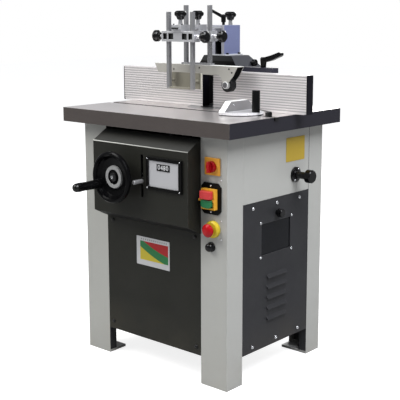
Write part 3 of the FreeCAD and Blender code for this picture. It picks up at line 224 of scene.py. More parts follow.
# %% Effect: grain
grain_tree, grain_in, grain_out = effect(
    "grain", [("Scale", "NodeSocketFloat", 300), ("Stretch", "NodeSocketVector", (1, 1, 1))],
    [("Tone", "NodeSocketFloat"), ("Height", "NodeSocketFloat")])
scale, stretch = grain_in.outputs["Scale"], grain_in.outputs["Stretch"]
spot = node(grain_tree, "TexCoord", {}).outputs["Object"]
spot = node(grain_tree, "VectorMath", {0: spot, 1: stretch}, operation="MULTIPLY").outputs[0]
fine = node(grain_tree, "TexNoise", {"Vector": spot, "Scale": scale, "Detail": 3}).outputs[0]
slow = times(grain_tree, scale, 0.12)
broad = node(grain_tree, "TexNoise", {"Vector": spot, "Scale": slow, "Detail": 2}).outputs[0]
fine_share = times(grain_tree, fine, 0.6)
together = sums(grain_tree, "ADD", fine_share, times(grain_tree, broad, 0.4))
grain_tree.links.new(spread(grain_tree, together, 0.3, 0.7), grain_out.inputs["Tone"])
grain_tree.links.new(fine, grain_out.inputs["Height"])
print("effect:", grain_tree.name)

# %% [markdown]
# A workshop machine is wiped, leaned on and dusted with fine chips, so a finish is never even over a panel.
# Slow noise stands for hand marks, and dust gathers towards the floor.

# %% Effect: handling
hand_tree, hand_in, hand_out = effect(
    "handling", [("Size", "NodeSocketFloat", 7)],
    [("Smudge", "NodeSocketFloat"), ("Dust", "NodeSocketFloat")])
spot = node(hand_tree, "TexCoord", {}).outputs["Object"]
noise = {"Vector": spot, "Scale": hand_in.outputs["Size"], "Detail": 5, "Roughness": 0.6}
marks = node(hand_tree, "TexNoise", noise).outputs[0]
height = node(hand_tree, "SeparateXYZ", {0: spot}).outputs["Z"]
low_down = spread(hand_tree, height, 0.22, 0)
settled = times(hand_tree, low_down, spread(hand_tree, marks, 0.35, 0.7))
hand_tree.links.new(spread(hand_tree, marks, 0.36, 0.68), hand_out.inputs["Smudge"])
hand_tree.links.new(settled, hand_out.inputs["Dust"])
print("effect:", hand_tree.name)

# %% [markdown]
# Every finish follows one recipe: a base colour that the grain and the hand marks vary, an edge colour
# where it is worn, a roughness that moves with the marks, and a bump from the grain on top of the rounded
# edges. An inlay is a part of the same solid with another finish, such as the ring on the handwheel: it is
# a mask, a colour, a roughness and a metallic value.

# %% The recipe for a finish
dust_colour = seen(150, 140, 122)
bump_height = 0.0004


def shade(colour, factor):
    return tuple(min(1, v * factor) for v in seen(*colour)[:3]) + (1,)


def finish(name, colour, rough, metal=0.0, grain=300, stretch=(1, 1, 1), depth=0.15, tone=0.07, worn=None,
           wear=0.5, radius=0.0012, marks=0.1, dust=0.0, inlays=(), specular=0.5):
    made = bpy.data.materials.new(name)
    made.use_nodes = True
    tree = made.node_tree
    shader = tree.nodes["Principled BSDF"]
    texture = node(tree, "Group", {"Scale": grain, "Stretch": stretch}, node_tree=grain_tree).outputs
    edges = node(tree, "Group", {"Radius": radius}, node_tree=wear_tree).outputs
    hands = node(tree, "Group", {}, node_tree=hand_tree).outputs
    paint = blend(tree, texture["Tone"], shade(colour, 1 - tone), shade(colour, 1 + tone))
    paint = blend(tree, times(tree, hands["Smudge"], marks), paint, shade(colour, 0.6))
    if dust:
        paint = blend(tree, times(tree, hands["Dust"], dust), paint, dust_colour)
    if worn:
        paint = blend(tree, times(tree, edges["Mask"], wear), paint, seen(*worn))
    gloss = spread(tree, hands["Smudge"], 0, 1, rough * 0.88, min(1, rough * 1.15))
    shine = None
    for mask, other, other_rough, other_metal in inlays:
        area = mask(tree)
        paint = blend(tree, area, paint, seen(*other))
        gloss = spread(tree, area, 0, 1, gloss, other_rough)
        if other_metal != metal:
            shine = spread(tree, area, 0, 1, metal if shine is None else shine, other_metal)
    bump = node(tree, "Bump", {"Strength": depth, "Distance": bump_height, "Height": texture["Height"],
                               "Normal": edges["Normal"]}).outputs[0]
    tree.links.new(paint, shader.inputs["Base Color"])
    tree.links.new(gloss, shader.inputs["Roughness"])
    tree.links.new(bump, shader.inputs["Normal"])
    shader.inputs["Metallic"].default_value = metal
    if shine is not None:
        tree.links.new(shine, shader.inputs["Metallic"])
    shader.inputs["Specular IOR Level"].default_value = specular
    return made


print("finish recipe ready")

# %% [markdown]
# Many solids carry more than one finish: a casting is ground on top, and a knob has a steel stem.
# Material slots by face would do it where a face ends in the right place. A mask needs no such face: it reads
# where a point is and which way its face looks, and it is 1 inside the area and 0 outside.

# %% Masks
far = 9.0


def spot_of(tree):
    return node(tree, "SeparateXYZ", {0: node(tree, "TexCoord", {}).outputs["Object"]}).outputs


def facing_of(tree):
    return node(tree, "SeparateXYZ", {0: node(tree, "TexCoord", {}).outputs["Normal"]}).outputs


def all_of(tree, *areas):
    total = areas[0]
    for area in areas[1:]:
        total = times(tree, total, area)
    return total


def region(**ranges):
    """A mask of the points whose X, Y or Z lies in the range given for it."""
    def mask(tree):
        at = spot_of(tree)
        return all_of(tree, *[between(tree, at[axis], low, high) for axis, (low, high) in ranges.items()])
    return mask


def looking(axis, sign, limit=0.7):
    """A mask of the faces that look to the plus or minus side of an axis."""
    def mask(tree):
        return sums(tree, "GREATER_THAN", times(tree, facing_of(tree)[axis], sign), limit)
    return mask


def ring(axes, centre, inner, outer):
    """A mask of the points between two radii round an axis."""
    def mask(tree):
        at = spot_of(tree)
        a, b = [sums(tree, "SUBTRACT", at[axis], c) for axis, c in zip(axes, centre)]
        square = sums(tree, "ADD", times(tree, a, a), times(tree, b, b))
        return between(tree, sums(tree, "SQRT", square), inner, outer)
    return mask


def both(first, second):
    """A mask of what two masks share."""
    return lambda tree: times(tree, first(tree), second(tree))


print("masks ready")

# %% [markdown]
# The legs and the upper side panel are folded sheet in light grey enamel, smooth with a faint orange peel.
# Inside, the legs are painted dark as painted shade, and their foot plates are painted near white as painted
# light against the shadow under the cabinet. A face is inside where it looks back to the machine's middle, so
# the mask multiplies its place by its direction.

# %% Enamel
foot_top = 0.009


# Painted shade: the faces inside the legs are painted dark.
def leg_inside_shade(tree):
    at, facing = spot_of(tree), facing_of(tree)
    inward = [sums(tree, "LESS_THAN", times(tree, at[axis], facing[axis]), -0.05) for axis in "XY"]
    above_foot = sums(tree, "GREATER_THAN", at["Z"], foot_top)
    return all_of(tree, above_foot, sums(tree, "MAXIMUM", *inward))


# Painted light: the foot plates are painted near white, so that they stay pale in the shadow under the
# cabinet.
foot_plate_light = both(region(Z=(-far, foot_top)), looking("Z", 1))
enamel = dict(colour=(162, 162, 158), rough=0.38, grain=420, depth=0.05, tone=0.015, radius=0.002,
              worn=(206, 206, 204), marks=0.05, dust=0.2, specular=0.35)
grey_enamel = finish("grey_enamel", **enamel)
leg_areas = [(leg_inside_shade, (40, 40, 42), 0.6, 0.0), (foot_plate_light, (238, 238, 236), 0.5, 0.0)]
leg_enamel = finish("leg_enamel", **enamel, inlays=leg_areas)
print("enamel:", grey_enamel.name, leg_enamel.name)

# %% [markdown]
# The panels and the control box have an anthracite powder coat, duller than enamel and pebbled. The box
# carries painted light and shade: its upper slope is painted lighter, a painted highlight runs along its fold,
# brightest on the left, and its mask is a thin rod along the folded edge. The slot in which the height lock
# goes up and down is painted black, and the faces that look down are painted dark, both as painted shade.

# %% Powder coat
def middle_of(node_name):
    """The middle of a solid, to a tenth of a millimetre, because round solids are made of flats."""
    return Vector([round((a + b) / 2, 4) for a, b in zip(*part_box(node_name))])


box_low, box_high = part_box("control_box")
box_fold = (box_low[1], box_high[2] - 0.035)
lock = middle_of("height_lock")
slot_half = 0.0056
# Painted shade: the walls of the height lock's slot are painted near black.
slot_shade = region(X=(lock.x - slot_half, lock.x + slot_half), Z=(lock.z - 0.0531, lock.z + 0.0861))
# Painted shade: faces that look down are painted dark.
underside_shade = looking("Z", -1, 0.5)


# Painted highlight: a thin bright line along the box's fold, brightest on the left.
def fold_highlight(tree):
    highlight_falloff = spread(tree, spot_of(tree)["X"], -0.22, 0.24, 1, 0.35)
    return times(tree, ring("YZ", box_fold, -1, 0.0016)(tree), highlight_falloff)


powder = dict(grain=1500, depth=0.22, tone=0.1, marks=0.12, specular=0.15)
dark_powder = dict(colour=(34, 34, 30), rough=0.5, worn=(100, 100, 96), radius=0.0022, **powder)
anthracite = finish("anthracite_coat", **dark_powder, dust=0.12)
# Painted light: the box's upward faces are painted lighter than its front.
box_areas = [(looking("Z", 1, 0.3), (54, 54, 52), 0.45, 0.0), (fold_highlight, (206, 206, 200), 0.4, 0.0),
             (slot_shade, (4, 4, 4), 0.7, 0.0), (underside_shade, (18, 18, 17), 0.6, 0.0)]
box_coat = finish("control_box_coat", **dark_powder, inlays=box_areas)
# The side cover's downward faces, under its louvres too, are painted near black as painted shade.
cover_coat = finish("side_cover_coat", (44, 44, 46), 0.52, worn=(104, 104, 106), wear=0.4, radius=0.0018,
                    dust=0.12, inlays=[(underside_shade, (5, 5, 6), 0.6, 0.0)], **powder)
print("powder coat:", anthracite.name, box_coat.name, cover_coat.name)

# %% [markdown]
# The table is one iron casting. Its top is ground bright and shows the fence in it, and its rim is left as
# machined and oiled, nearly brown. The rim's right side is painted darker and bluer as painted shade. One
# material does it all: the masks read which way a face looks.

# %% Cast iron
table_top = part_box("worktable")[1][2]
ground_face = both(looking("Z", 1), region(Z=(table_top - 0.012, far)))
# Painted shade: the faces that look to the right are painted darker.
table_areas = [(looking("X", 1), (36, 35, 42), 0.42, 0.2), (ground_face, (222, 217, 216), 0.34, 0.88)]
table_iron = finish("table_iron", (75, 69, 67), 0.42, metal=0.2, grain=260, stretch=(0.25, 1, 1), depth=0.1,
                    worn=(190, 188, 184), wear=0.6, radius=0.0016, marks=0.12, specular=0.3,
                    inlays=table_areas)
raw_iron = finish("raw_iron", (88, 86, 84), 0.55, metal=0.5, grain=220, depth=0.35, tone=0.14, marks=0.2)
print("iron:", table_iron.name, raw_iron.name)

# %% [markdown]
# Drawn bars and turned shafts are bright steel with fine lines along their length, so the grain is stretched
# along Z or Y. The arm's end is sawn and dark, the shaft has a black cap, and the strip that holds the press
# plate has the plate's olive paint.

# %% Drawn and turned steel
arm_end = region(Y=(-far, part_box("reach_arm")[0][1] + 0.0012))
shaft_cap = region(Y=(-far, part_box("wheel_shaft")[0][1] + 0.0085))
strip_half = 0.0468
press_strip = region(X=(-strip_half, strip_half), Z=(-far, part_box("press_bars")[0][2] + 0.0064))
drawn = dict(grain=900, depth=0.12, tone=0.08, radius=0.0008)
upright = dict(colour=(163, 163, 165), rough=0.3, metal=0.75, stretch=(1, 1, 0.03), marks=0.12, **drawn)
bright_steel = finish("bright_steel", **upright)
press_steel = finish("press_bar_steel", **upright, inlays=[(press_strip, (122, 119, 107), 0.4, 0.0)])
arm_steel = finish("arm_steel", (196, 197, 200), 0.3, metal=0.6, stretch=(1, 0.03, 1), marks=0.12,
                   inlays=[(arm_end, (14, 14, 15), 0.5, 0.0)], **drawn)
shaft_steel = finish("shaft_steel", (150, 150, 152), 0.32, metal=1, stretch=(1, 0.03, 1), marks=0.15,
                     inlays=[(shaft_cap, (12, 12, 13), 0.3, 0.0)], **drawn)
print("steel:", bright_steel.name, press_steel.name, arm_steel.name, shaft_steel.name)

# %% [markdown]
# The clamp channels are folded steel with a row of window openings, and a mask paints the recess behind the
# front face near black as painted shade. Screws are bright, and bolts are black from an oxide bath.

# %% Clamps and fasteners
window_half = 0.0668
clamp_steel = {}
for clamp in ("rear_clamp", "front_clamp"):
    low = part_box(clamp)[0]
    # Painted shade: the recess behind each window opening is painted near black.
    window_shade = region(X=(-window_half, window_half), Y=(low[1] + 0.0067, low[1] + 0.014),
                     Z=(low[2] + 0.0062, low[2] + 0.0278))
    clamp_steel[clamp] = finish(clamp + "_steel", (196, 196, 199), 0.36, metal=0.7, grain=700, depth=0.1,
                                stretch=(0.04, 1, 1), tone=0.05, marks=0.08, radius=0.001,
                                inlays=[(window_shade, (10, 10, 12), 0.6, 0.0)])
screw_steel = finish("screw_steel", (206, 207, 209), 0.2, metal=1, grain=900, depth=0.05, tone=0.04,
                     radius=0.0004)
black_oxide = finish("black_oxide", (24, 24, 25), 0.38, metal=0.4, grain=900, depth=0.1, tone=0.12,
                     worn=(90, 90, 90), wear=0.4, radius=0.0005)
print("steel:", list(clamp_steel), screw_steel.name, black_oxide.name)

# %% [markdown]
# The fence plates are extruded aluminium with a white bloom. The floors of the flutes are painted darker as
# painted shade, and a thin slice behind the front face finds them. The pulley is turned, and the height lock
# is cast.

# %% Aluminium
low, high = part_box("left_fence")
# Painted shade: the floors of the flutes are painted darker.
flute_shade = region(Y=(low[1] + 0.0004, low[1] + 0.0024), Z=(-far, high[2] - 0.003))
fence_alloy = finish("fence_alloy", (216, 212, 212), 0.36, metal=0.3, grain=800, stretch=(0.03, 1, 1),
                     depth=0.1, tone=0.05, marks=0.06, radius=0.0006,
                     inlays=[(flute_shade, (178, 175, 176), 0.5, 0.2)])
pulley_alloy = finish("pulley_alloy", (176, 176, 174), 0.34, metal=0.9, grain=700, stretch=(1, 1, 0.04),
                      depth=0.12, marks=0.15)
lock_alloy = finish("lock_alloy", (140, 140, 141), 0.3, metal=0.4, grain=700, depth=0.05, tone=0.04,
                    marks=0.08)
print("aluminium:", fence_alloy.name, pulley_alloy.name, lock_alloy.name)

# %% [markdown]
# The mitre gauge is a casting whose disc is turned. The disc's rim and top, the block's top and its raked end
# are painted lighter as painted highlights, and the foot of the disc is painted dark as a painted shadow.
# Its faces lie at different heights, so slices in Z tell them apart. The degree marks are narrow strips of
# the angle round the pivot, darkened near the rim.

# %% Mitre gauge
pivot = middle_of("mitre_bar").xy
mark_step = radians(5)
gauge_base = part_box("mitre_head")[0][2]
lip_top = gauge_base + 0.0025
disc_top = gauge_base + 0.0109


def degree_marks(tree):
    at = spot_of(tree)
    x, y = [sums(tree, "SUBTRACT", at[axis], c) for axis, c in zip("XY", pivot)]
    steps = sums(tree, "DIVIDE", sums(tree, "ARCTAN2", y, x), mark_step)
    line = between(tree, sums(tree, "FRACT", sums(tree, "ADD", steps, 100.5)), 0.44, 0.56)
    return all_of(tree, line, ring("XY", pivot, 0.0685, 0.0758)(tree), looking("Z", 1)(tree))


def gauge_side(low, high):
    return both(looking("Z", -1, -0.6), region(Z=(low, high)))


def gauge_top(low, high):
    return both(looking("Z", 1, 0.6), region(Z=(low, high)))


# Painted highlights on the rim and top of the disc, the top of the block and its raked end; painted shadow at
# the foot of the disc.
raked_end_highlight = both(region(Z=(disc_top, far)), looking("Y", -1, 0.5))
gauge_areas = [(gauge_side(lip_top, disc_top - 0.0002), (204, 204, 206), 0.34, 0.1),
               (gauge_side(-far, lip_top), (20, 20, 22), 0.6, 0.0),
               (gauge_top(gauge_base + 0.0087, disc_top), (186, 185, 187), 0.34, 0.3),
               (gauge_top(gauge_base + 0.0197, far), (240, 240, 238), 0.34, 0.1),
               (raked_end_highlight, (246, 246, 243), 0.34, 0.1), (degree_marks, (40, 40, 40), 0.5, 0.0)]
# The bright edges are partly wear and partly painted highlight.
gauge_alloy = finish("gauge_alloy", (138, 137, 138), 0.32, metal=0.4, grain=500, depth=0.06, tone=0.03,
                     worn=(240, 240, 238), wear=0.9, marks=0.06, radius=0.0014, inlays=gauge_areas)
print("gauge:", gauge_alloy.name)

# %% [markdown]
# The tower of the hold-down is an aluminium block with a blue coat, paler on its front and bare at its foot.
# Its cap is painted paler as painted light. Below the arm it is hollow, and the inside is painted dark as
# painted shade.

# %% Tower
tower_low, tower_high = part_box("hold_down_tower")
tower_foot = region(Z=(-far, tower_low[2] + 0.0045))
hollow_half = 0.0146
# Painted shade: the space below the arm is painted near black.
hollow = region(X=(-hollow_half, hollow_half), Y=(tower_low[1] + 0.0035, tower_high[1] - 0.0095),
                Z=(tower_low[2] + 0.0035, tower_low[2] + 0.0557))
# Painted light on the cap, and painted shade in the space below the arm.
tower_areas = [(looking("Y", -1), (150, 151, 160), 0.36, 0.0), (looking("Z", 1), (150, 152, 164), 0.4, 0.0),
               (tower_foot, (182, 184, 188), 0.4, 0.0), (hollow, (16, 17, 20), 0.6, 0.0)]
tower_alloy = finish("tower_alloy", (104, 110, 142), 0.36, grain=500, depth=0.06, tone=0.04,
                     worn=(190, 194, 206), wear=0.6, marks=0.08, radius=0.001, specular=0.3,
                     inlays=tower_areas)
print("tower:", tower_alloy.name)

# %% [markdown]
# Castings are painted by brush or spray, which leaves a coarse skin. The hood carries painted shade: its upper
# front slope is painted dark and its right slope a little lighter, and the band above the cutter is painted
# near black as a painted shadow. The rail and the motor have the same skin.

# %% Painted castings
hood_low, hood_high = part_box("fence_hood")


def hood_slope(axis, sign):
    return both(region(Z=(hood_high[2] - 0.0443, far)), looking(axis, sign, 0.5))


# Painted shade on the upper front and right slopes, and a painted shadow in the band above the cutter.
hood_shadow_band = both(looking("Y", -1, 0.5), region(Z=(-far, hood_high[2] - 0.0178)))
hood_areas = [(hood_slope("Y", -1), (32, 33, 34), 0.5, 0.0), (hood_slope("X", 1), (47, 48, 53), 0.46, 0.0),
              (hood_shadow_band, (4, 4, 5), 0.6, 0.0)]
skin = dict(grain=260, depth=0.2, tone=0.08, marks=0.12)
hood_paint = finish("hood_paint", (62, 63, 66), 0.46, worn=(126, 130, 130), wear=0.6, radius=0.002,
                    specular=0.1, inlays=hood_areas, **skin)
rail_paint = finish("rail_paint", (44, 44, 54), 0.5, specular=0.2, **skin)
motor_paint = finish("motor_paint", (70, 72, 74), 0.48, grain=240, depth=0.3, tone=0.1, marks=0.15)
print("castings:", hood_paint.name, rail_paint.name, motor_paint.name)

# %% [markdown]
# The pressure shoe is folded sheet in white paint. Its upward faces are painted brighter as painted light, and
# the inside of its channel is painted near black as painted shade. The press plate is olive with a light strip
# at its end.

# %% Shoe and press plate
shoe_low, shoe_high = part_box("pressure_shoe")
sheet = 0.0028
shoe_inside_shade = region(Y=(shoe_low[1] + sheet, shoe_high[1] - sheet), Z=(-far, shoe_high[2] - sheet))
end_strip = region(X=(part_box("press_plate")[1][0] - 0.0045, far))
sheet_paint = dict(grain=420, specular=0.35)
# Painted light on the upward faces, and painted shade inside the channel.
shoe_areas = [(looking("Z", 1), (236, 236, 232), 0.38, 0.0), (shoe_inside_shade, (16, 16, 17), 0.6, 0.0)]
shoe_white = finish("shoe_white", (158, 156, 150), 0.38, depth=0.05, tone=0.02, worn=(226, 226, 220),
                    wear=0.6, marks=0.05, inlays=shoe_areas, **sheet_paint)
olive_paint = finish("olive_paint", (117, 114, 102), 0.42, depth=0.06, tone=0.03, worn=(150, 148, 136),
                     inlays=[(end_strip, (190, 188, 176), 0.38, 0.0)], **sheet_paint)
print("sheet paint:", shoe_white.name, olive_paint.name)

# %% [markdown]
# Knobs, levers and the handwheel are moulded from black thermoset: deep black, glossy, softly rounded.
# The wheel carries a light ring round its boss.

# %% Black thermoset
black = (9, 9, 10)
moulded = dict(grain=600, depth=0.04, tone=0.1, worn=(40, 40, 42), radius=0.0015, marks=0.15)
thermoset = finish("black_thermoset", black, 0.16, specular=0.26, **moulded)
wheel_axis = middle_of("handwheel").xz
wheel_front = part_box("handwheel")[0][1]
boss_ring = both(ring("XZ", wheel_axis, 0.0245, 0.0388), region(Y=(wheel_front, wheel_front + 0.0215)))
wheel_black = finish("wheel_black", black, 0.18, grain=600, depth=0.03, tone=0.1, worn=(30, 30, 32), wear=0.4,
                     radius=0.002, specular=0.07, inlays=[(boss_ring, (150, 150, 150), 0.4, 0.2)])
print("thermoset:", thermoset.name, wheel_black.name)

# %% [markdown]
# Each star knob sits on a plain steel stem, which is part of the same solid. The stem is what lies between
# the clamp's face and the star, so the mask starts at the knob's inner end, and each knob has its own.

# %% Star knobs
star_proud = 0.046
star_stem = 0.0155


def stem_of(knob):
    low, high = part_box(knob)
    axis = {"left": "X", "right": "X"}.get(knob.split("_")[-1], "Z")
    index = "XYZ".index(axis)
    stem = star_stem + (high[index] - low[index] - star_proud)
    if knob.endswith("left"):
        return region(**{axis: (high[index] - stem, far)})
    return region(**{axis: (-far, low[index] + stem)})


star_black = {}
for knob in [name for name in nodes if "_knob_" in name] + ["tower_knob"]:
    star_black[knob] = finish(knob + "_black", black, 0.15, specular=0.28,
                              inlays=[(stem_of(knob), (196, 196, 198), 0.3, 0.9)], **moulded)
print("star knobs:", list(star_black))

# %% [markdown]
# The controls are moulded plastic in signal colours. The readout is a black frame round a pale plate, and the
# switch is a black plate with an orange frame round its buttons. Both are one solid, so masks part them.

# %% Controls
switch_low, switch_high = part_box("switch_plate")
switch_frame = region(Y=(-far, switch_low[1] + 0.0158))
readout_low, readout_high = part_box("readout")
rim = 0.0108
readout_inside = region(X=(readout_low[0] + rim, readout_high[0] - rim),
                        Z=(readout_low[2] + rim, readout_high[2] - rim))
readout_plate = both(readout_inside, looking("Y", -1))
frame_black = finish("readout_black", (9, 9, 9), 0.4, grain=900, depth=0.1, tone=0.1, worn=(64, 64, 66),
                     wear=0.3, specular=0.08, inlays=[(readout_plate, (174, 174, 177), 0.42, 0.2)])
switch_black = finish("switch_black", (11, 11, 11), 0.42, grain=900, tone=0.1, specular=0.12,
                      inlays=[(switch_frame, (214, 156, 52), 0.4, 0.0)])
plate_plastic = dict(rough=0.4, grain=700, depth=0.05, tone=0.03, marks=0.05, wear=0.4, specular=0.3)
isolator_yellow = finish("isolator_yellow", (206, 146, 52), worn=(246, 190, 90), **plate_plastic)
collar_yellow = finish("collar_yellow", (196, 172, 40), worn=(232, 210, 100), **plate_plastic)
button = dict(grain=700, depth=0.03, tone=0.04, marks=0.06, wear=0.4, radius=0.002)
signal_red = finish("signal_red", (156, 10, 19), 0.26, worn=(190, 50, 54), specular=0.22, **button)
stop_red = finish("stop_red", (186, 52, 54), 0.32, worn=(226, 120, 118), specular=0.3, **button)
start_green = finish("start_green", (26, 104, 62), 0.32, worn=(86, 160, 116), specular=0.3, **button)
print("controls:", frame_black.name, switch_black.name, signal_red.name, start_green.name)

# %% [markdown]
# The roller has a black rubber tyre on a grey hub with a light flange. They are vulcanised into one piece, so
# they are one solid with two rings. The belt is ribbed rubber.

# %% Rubber
roller_axis = middle_of("shoe_roller").xz
hub_radius = 0.0094
flange_radius = 0.0128
roller_areas = [(ring("XZ", roller_axis, hub_radius, flange_radius), (206, 206, 206), 0.34, 0.2),
                (ring("XZ", roller_axis, -1, hub_radius), (96, 96, 98), 0.34, 0.4)]
tyre = finish("roller_tyre", (16, 16, 17), 0.5, grain=900, depth=0.2, tone=0.12, specular=0.25,
              inlays=roller_areas)
belt_rubber = finish("belt_rubber", (24, 24, 24), 0.6, grain=900, stretch=(1, 1, 8), depth=0.3, tone=0.1)
print("rubber:", tyre.name, belt_rubber.name)

# %% [markdown]
# The belt window is a smoked acrylic pane. Light goes through it and dies in the cabinet, so it reads as a
# deep blue black with a clear reflection. Faint wipe marks in the roughness keep it from looking like a
# hole.

# %% Smoked pane
pane = bpy.data.materials.new("smoked_pane")
pane.use_nodes = True
pane_tree = pane.node_tree
pane_shader = pane_tree.nodes["Principled BSDF"]
pane_shader.inputs["Transmission Weight"].default_value = 0.3
pane_shader.inputs["IOR"].default_value = 1.49
pane_shader.inputs["Specular IOR Level"].default_value = 0.03
wipes = node(pane_tree, "Group", {"Size": 16}, node_tree=hand_tree).outputs["Smudge"]
smoke = blend(pane_tree, wipes, seen(6, 8, 14), seen(10, 12, 19))
pane_tree.links.new(spread(pane_tree, wipes, 0, 1, 0.04, 0.16), pane_shader.inputs["Roughness"])
pane_tree.links.new(smoke, pane_shader.inputs["Base Color"])
print("pane:", pane.name)

# %% [markdown]
# Now the solids get their finish. Most follow the material slot that the record gives them, and a few have a
# material of their own, mostly because they carry an inlay.

# %% Dress the solids
by_slot = {"grey_paint": grey_enamel, "dark_paint": anthracite, "hood_paint": hood_paint,
           "white_paint": shoe_white, "olive_paint": olive_paint, "cast_iron": raw_iron, "steel": bright_steel,
           "aluminium": fence_alloy, "black_plastic": thermoset, "yellow_plastic": isolator_yellow,
           "red_plastic": signal_red, "green_plastic": start_green, "smoked_pane": pane, "rubber": belt_rubber}
legs = {name: leg_enamel for name in nodes if name.startswith("leg_")}
by_node = {"worktable": table_iron, "control_box": box_coat, "right_cover": cover_coat, "readout": frame_black,
           "height_lock": lock_alloy, "handwheel": wheel_black, "wheel_shaft": shaft_steel,
           "switch_plate": switch_black, "stop_button": stop_red, "estop_collar": collar_yellow,
           "hold_down_tower": tower_alloy, "reach_arm": arm_steel, "press_bars": press_steel,
           "shoe_roller": tyre, "fence_rail": rail_paint, "mitre_bar": black_oxide, "mitre_head": gauge_alloy,
           "motor": motor_paint, "motor_pulley": pulley_alloy, **clamp_steel, **star_black, **legs}
for part in frame["record"]["subparts"]:
    name = part["node"]
    look = by_node.get(name, by_slot[part["material_slot"]])
    nodes[name].data.materials.clear()
    nodes[name].data.materials.append(look)

# %% [markdown]
# The small pieces are modelled as by hand: add a primitive at its size, shape it in edit mode, finish it.
# Faces and edges are picked by where they are, so a helper picks them by a test.

# %% Helpers for modelling
smooth_angle = radians(35)


def begin(name, primitive, **settings):
    bpy.ops.object.select_all(action="DESELECT")
    primitive(**settings)
    made = bpy.context.object
    made.name = name
    made.data.name = name
    bpy.ops.object.transform_apply(location=True, rotation=True, scale=True)
    return made


def pick(piece, kind, test):
    """Enters edit mode with only the faces or edges selected that pass the test on centre and direction."""
    if piece.mode == "EDIT":
        bpy.ops.object.mode_set(mode="OBJECT")
    mesh = piece.data
    for group in (mesh.vertices, mesh.edges, mesh.polygons):
        group.foreach_set("select", [False] * len(group))
    if kind == "FACE":
        for face in mesh.polygons:
            face.select = test(face.center, face.normal)
    else:
        for line in mesh.edges:
            a, b = (mesh.vertices[i].co for i in line.vertices)
            line.select = test((a + b) / 2, (b - a).normalized())
    bpy.ops.object.mode_set(mode="EDIT")
    bpy.ops.mesh.select_mode(type=kind)


def leave(piece):
    """Back to object mode, with this piece active and smooth except at its sharp edges."""
    if piece.mode == "EDIT":
        bpy.ops.object.mode_set(mode="OBJECT")
    bpy.ops.object.select_all(action="DESELECT")
    piece.select_set(True)
    bpy.context.view_layer.objects.active = piece
    bpy.ops.object.shade_smooth_by_angle(angle=smooth_angle)


def use(piece, kind, **settings):
    """Adds a modifier and applies it."""
    leave(piece)
    made = piece.modifiers.new(kind.lower(), kind)
    for key, value in settings.items():
        setattr(made, key, value)
    bpy.ops.object.modifier_apply(modifier=made.name)


print("modelling helpers ready")

# %% [markdown]
# Most fittings are turned pieces. A lathe hand starts with a rod, rounds its edges, turns steps and drills
# it. The helpers do the same to a cylinder that stands on the ground plane: bevel, inset and extrude, and
# cut.

# %% Helpers for turned pieces
def rod(name, radius, depth, vertices, base=0.0):
    return begin(name, bpy.ops.mesh.primitive_cylinder_add, vertices=vertices, radius=radius, depth=depth,
                 location=(0, 0, base + depth / 2))


def round_edges(piece, test, offset, segments):
    pick(piece, "EDGE", test)
    bpy.ops.mesh.bevel(offset=offset, segments=segments, affect="EDGES")
    leave(piece)


def step_out(piece, side, inset, length):
    """Narrows the upper (1) or lower (-1) end and draws it out."""
    pick(piece, "FACE", lambda c, n: n.z * side > 0.9)
    bpy.ops.mesh.inset(thickness=inset)
    bpy.ops.mesh.extrude_region_move(TRANSFORM_OT_translate={"value": (0, 0, length * side)})
    leave(piece)


def drop(piece):
    bpy.data.objects.remove(piece, do_unlink=True)


def carve(piece, tool):
    use(piece, "BOOLEAN", object=tool, operation="DIFFERENCE", solver="EXACT")
    drop(tool)


print("turning helpers ready")

# %% [markdown]
# A finished piece gets its material, and it is hung on the body that it moves with. Fasteners are modelled
# once, at the origin and looking up. Their copies have meshes of their own, with the place worked into the
# mesh, and each is turned a little further, because nobody lines up the recesses of screws.

# %% Helpers for placing
FRONT = Matrix.Rotation(radians(90), 4, "X")
REAR = Matrix.Rotation(radians(-90), 4, "X")
RIGHT = Matrix.Rotation(radians(90), 4, "Y")
LEFT = Matrix.Rotation(radians(-90), 4, "Y")
UP = Matrix.Identity(4)
turn_step = 37


def hang(piece, look, body):
    leave(piece)
    piece.data.materials.clear()
    piece.data.materials.append(look)
    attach(piece, body)


def set_copies(pattern, name, places, facing, look=screw_steel, body="machine", size=(1, 1)):
    for index, at in enumerate(places):
        made = bpy.data.objects.new("%s_%d" % (name, index + 1), pattern.data.copy())
        made.data.name = made.name
        bpy.context.scene.collection.objects.link(made)
        turn = Matrix.Rotation(radians(turn_step * index), 4, "Z")
        grow = Matrix.Diagonal((size[0], size[0], size[1], 1))
        made.data.transform(Matrix.Translation(at) @ facing @ turn @ grow)
        hang(made, look, body)
    print(name, "x", len(places))


print("placing helpers ready")

# %% [markdown]
# A pan-head screw is a short cylinder with a domed top and a cross recess.
# The dome is a wide bevel on the top edge, and two crossed bars cut the recess.

# %% Pattern: cross-head screw
screw_r = 0.005
screw_h = 0.0034
recess = (screw_r * 1.15, 0.0011, screw_h * 0.9)
screw = rod("screw_pattern", screw_r, screw_h, 24)
round_edges(screw, lambda c, d: c.z > screw_h * 0.9, screw_h * 0.75, 4)
for turn in (0, 90):
    bar = begin("recess", bpy.ops.mesh.primitive_cube_add, size=1, scale=recess, location=(0, 0, screw_h),
                rotation=(0, 0, radians(turn)))
    pick(bar, "FACE", lambda c, n: n.z < -0.9)
    bpy.ops.transform.resize(value=(0.5, 0.6, 1))
    leave(bar)
    carve(screw, bar)
print("screw:", len(screw.data.polygons), "faces")

# %% [markdown]
# A socket bolt has a straight head with a hexagon hole for the key. A bevel breaks its top edge, and a rod of
# six sides cuts the hole.

# %% Pattern: socket bolt
bolt_r = 0.005
bolt_h = 0.0055
key_depth = 0.003
bolt = rod("bolt_pattern", bolt_r, bolt_h, 24)
round_edges(bolt, lambda c, d: c.z > bolt_h * 0.9, 0.0006, 2)
carve(bolt, rod("key", 0.0028, 2 * key_depth, 6, bolt_h - key_depth))
print("bolt:", len(bolt.data.polygons), "faces")

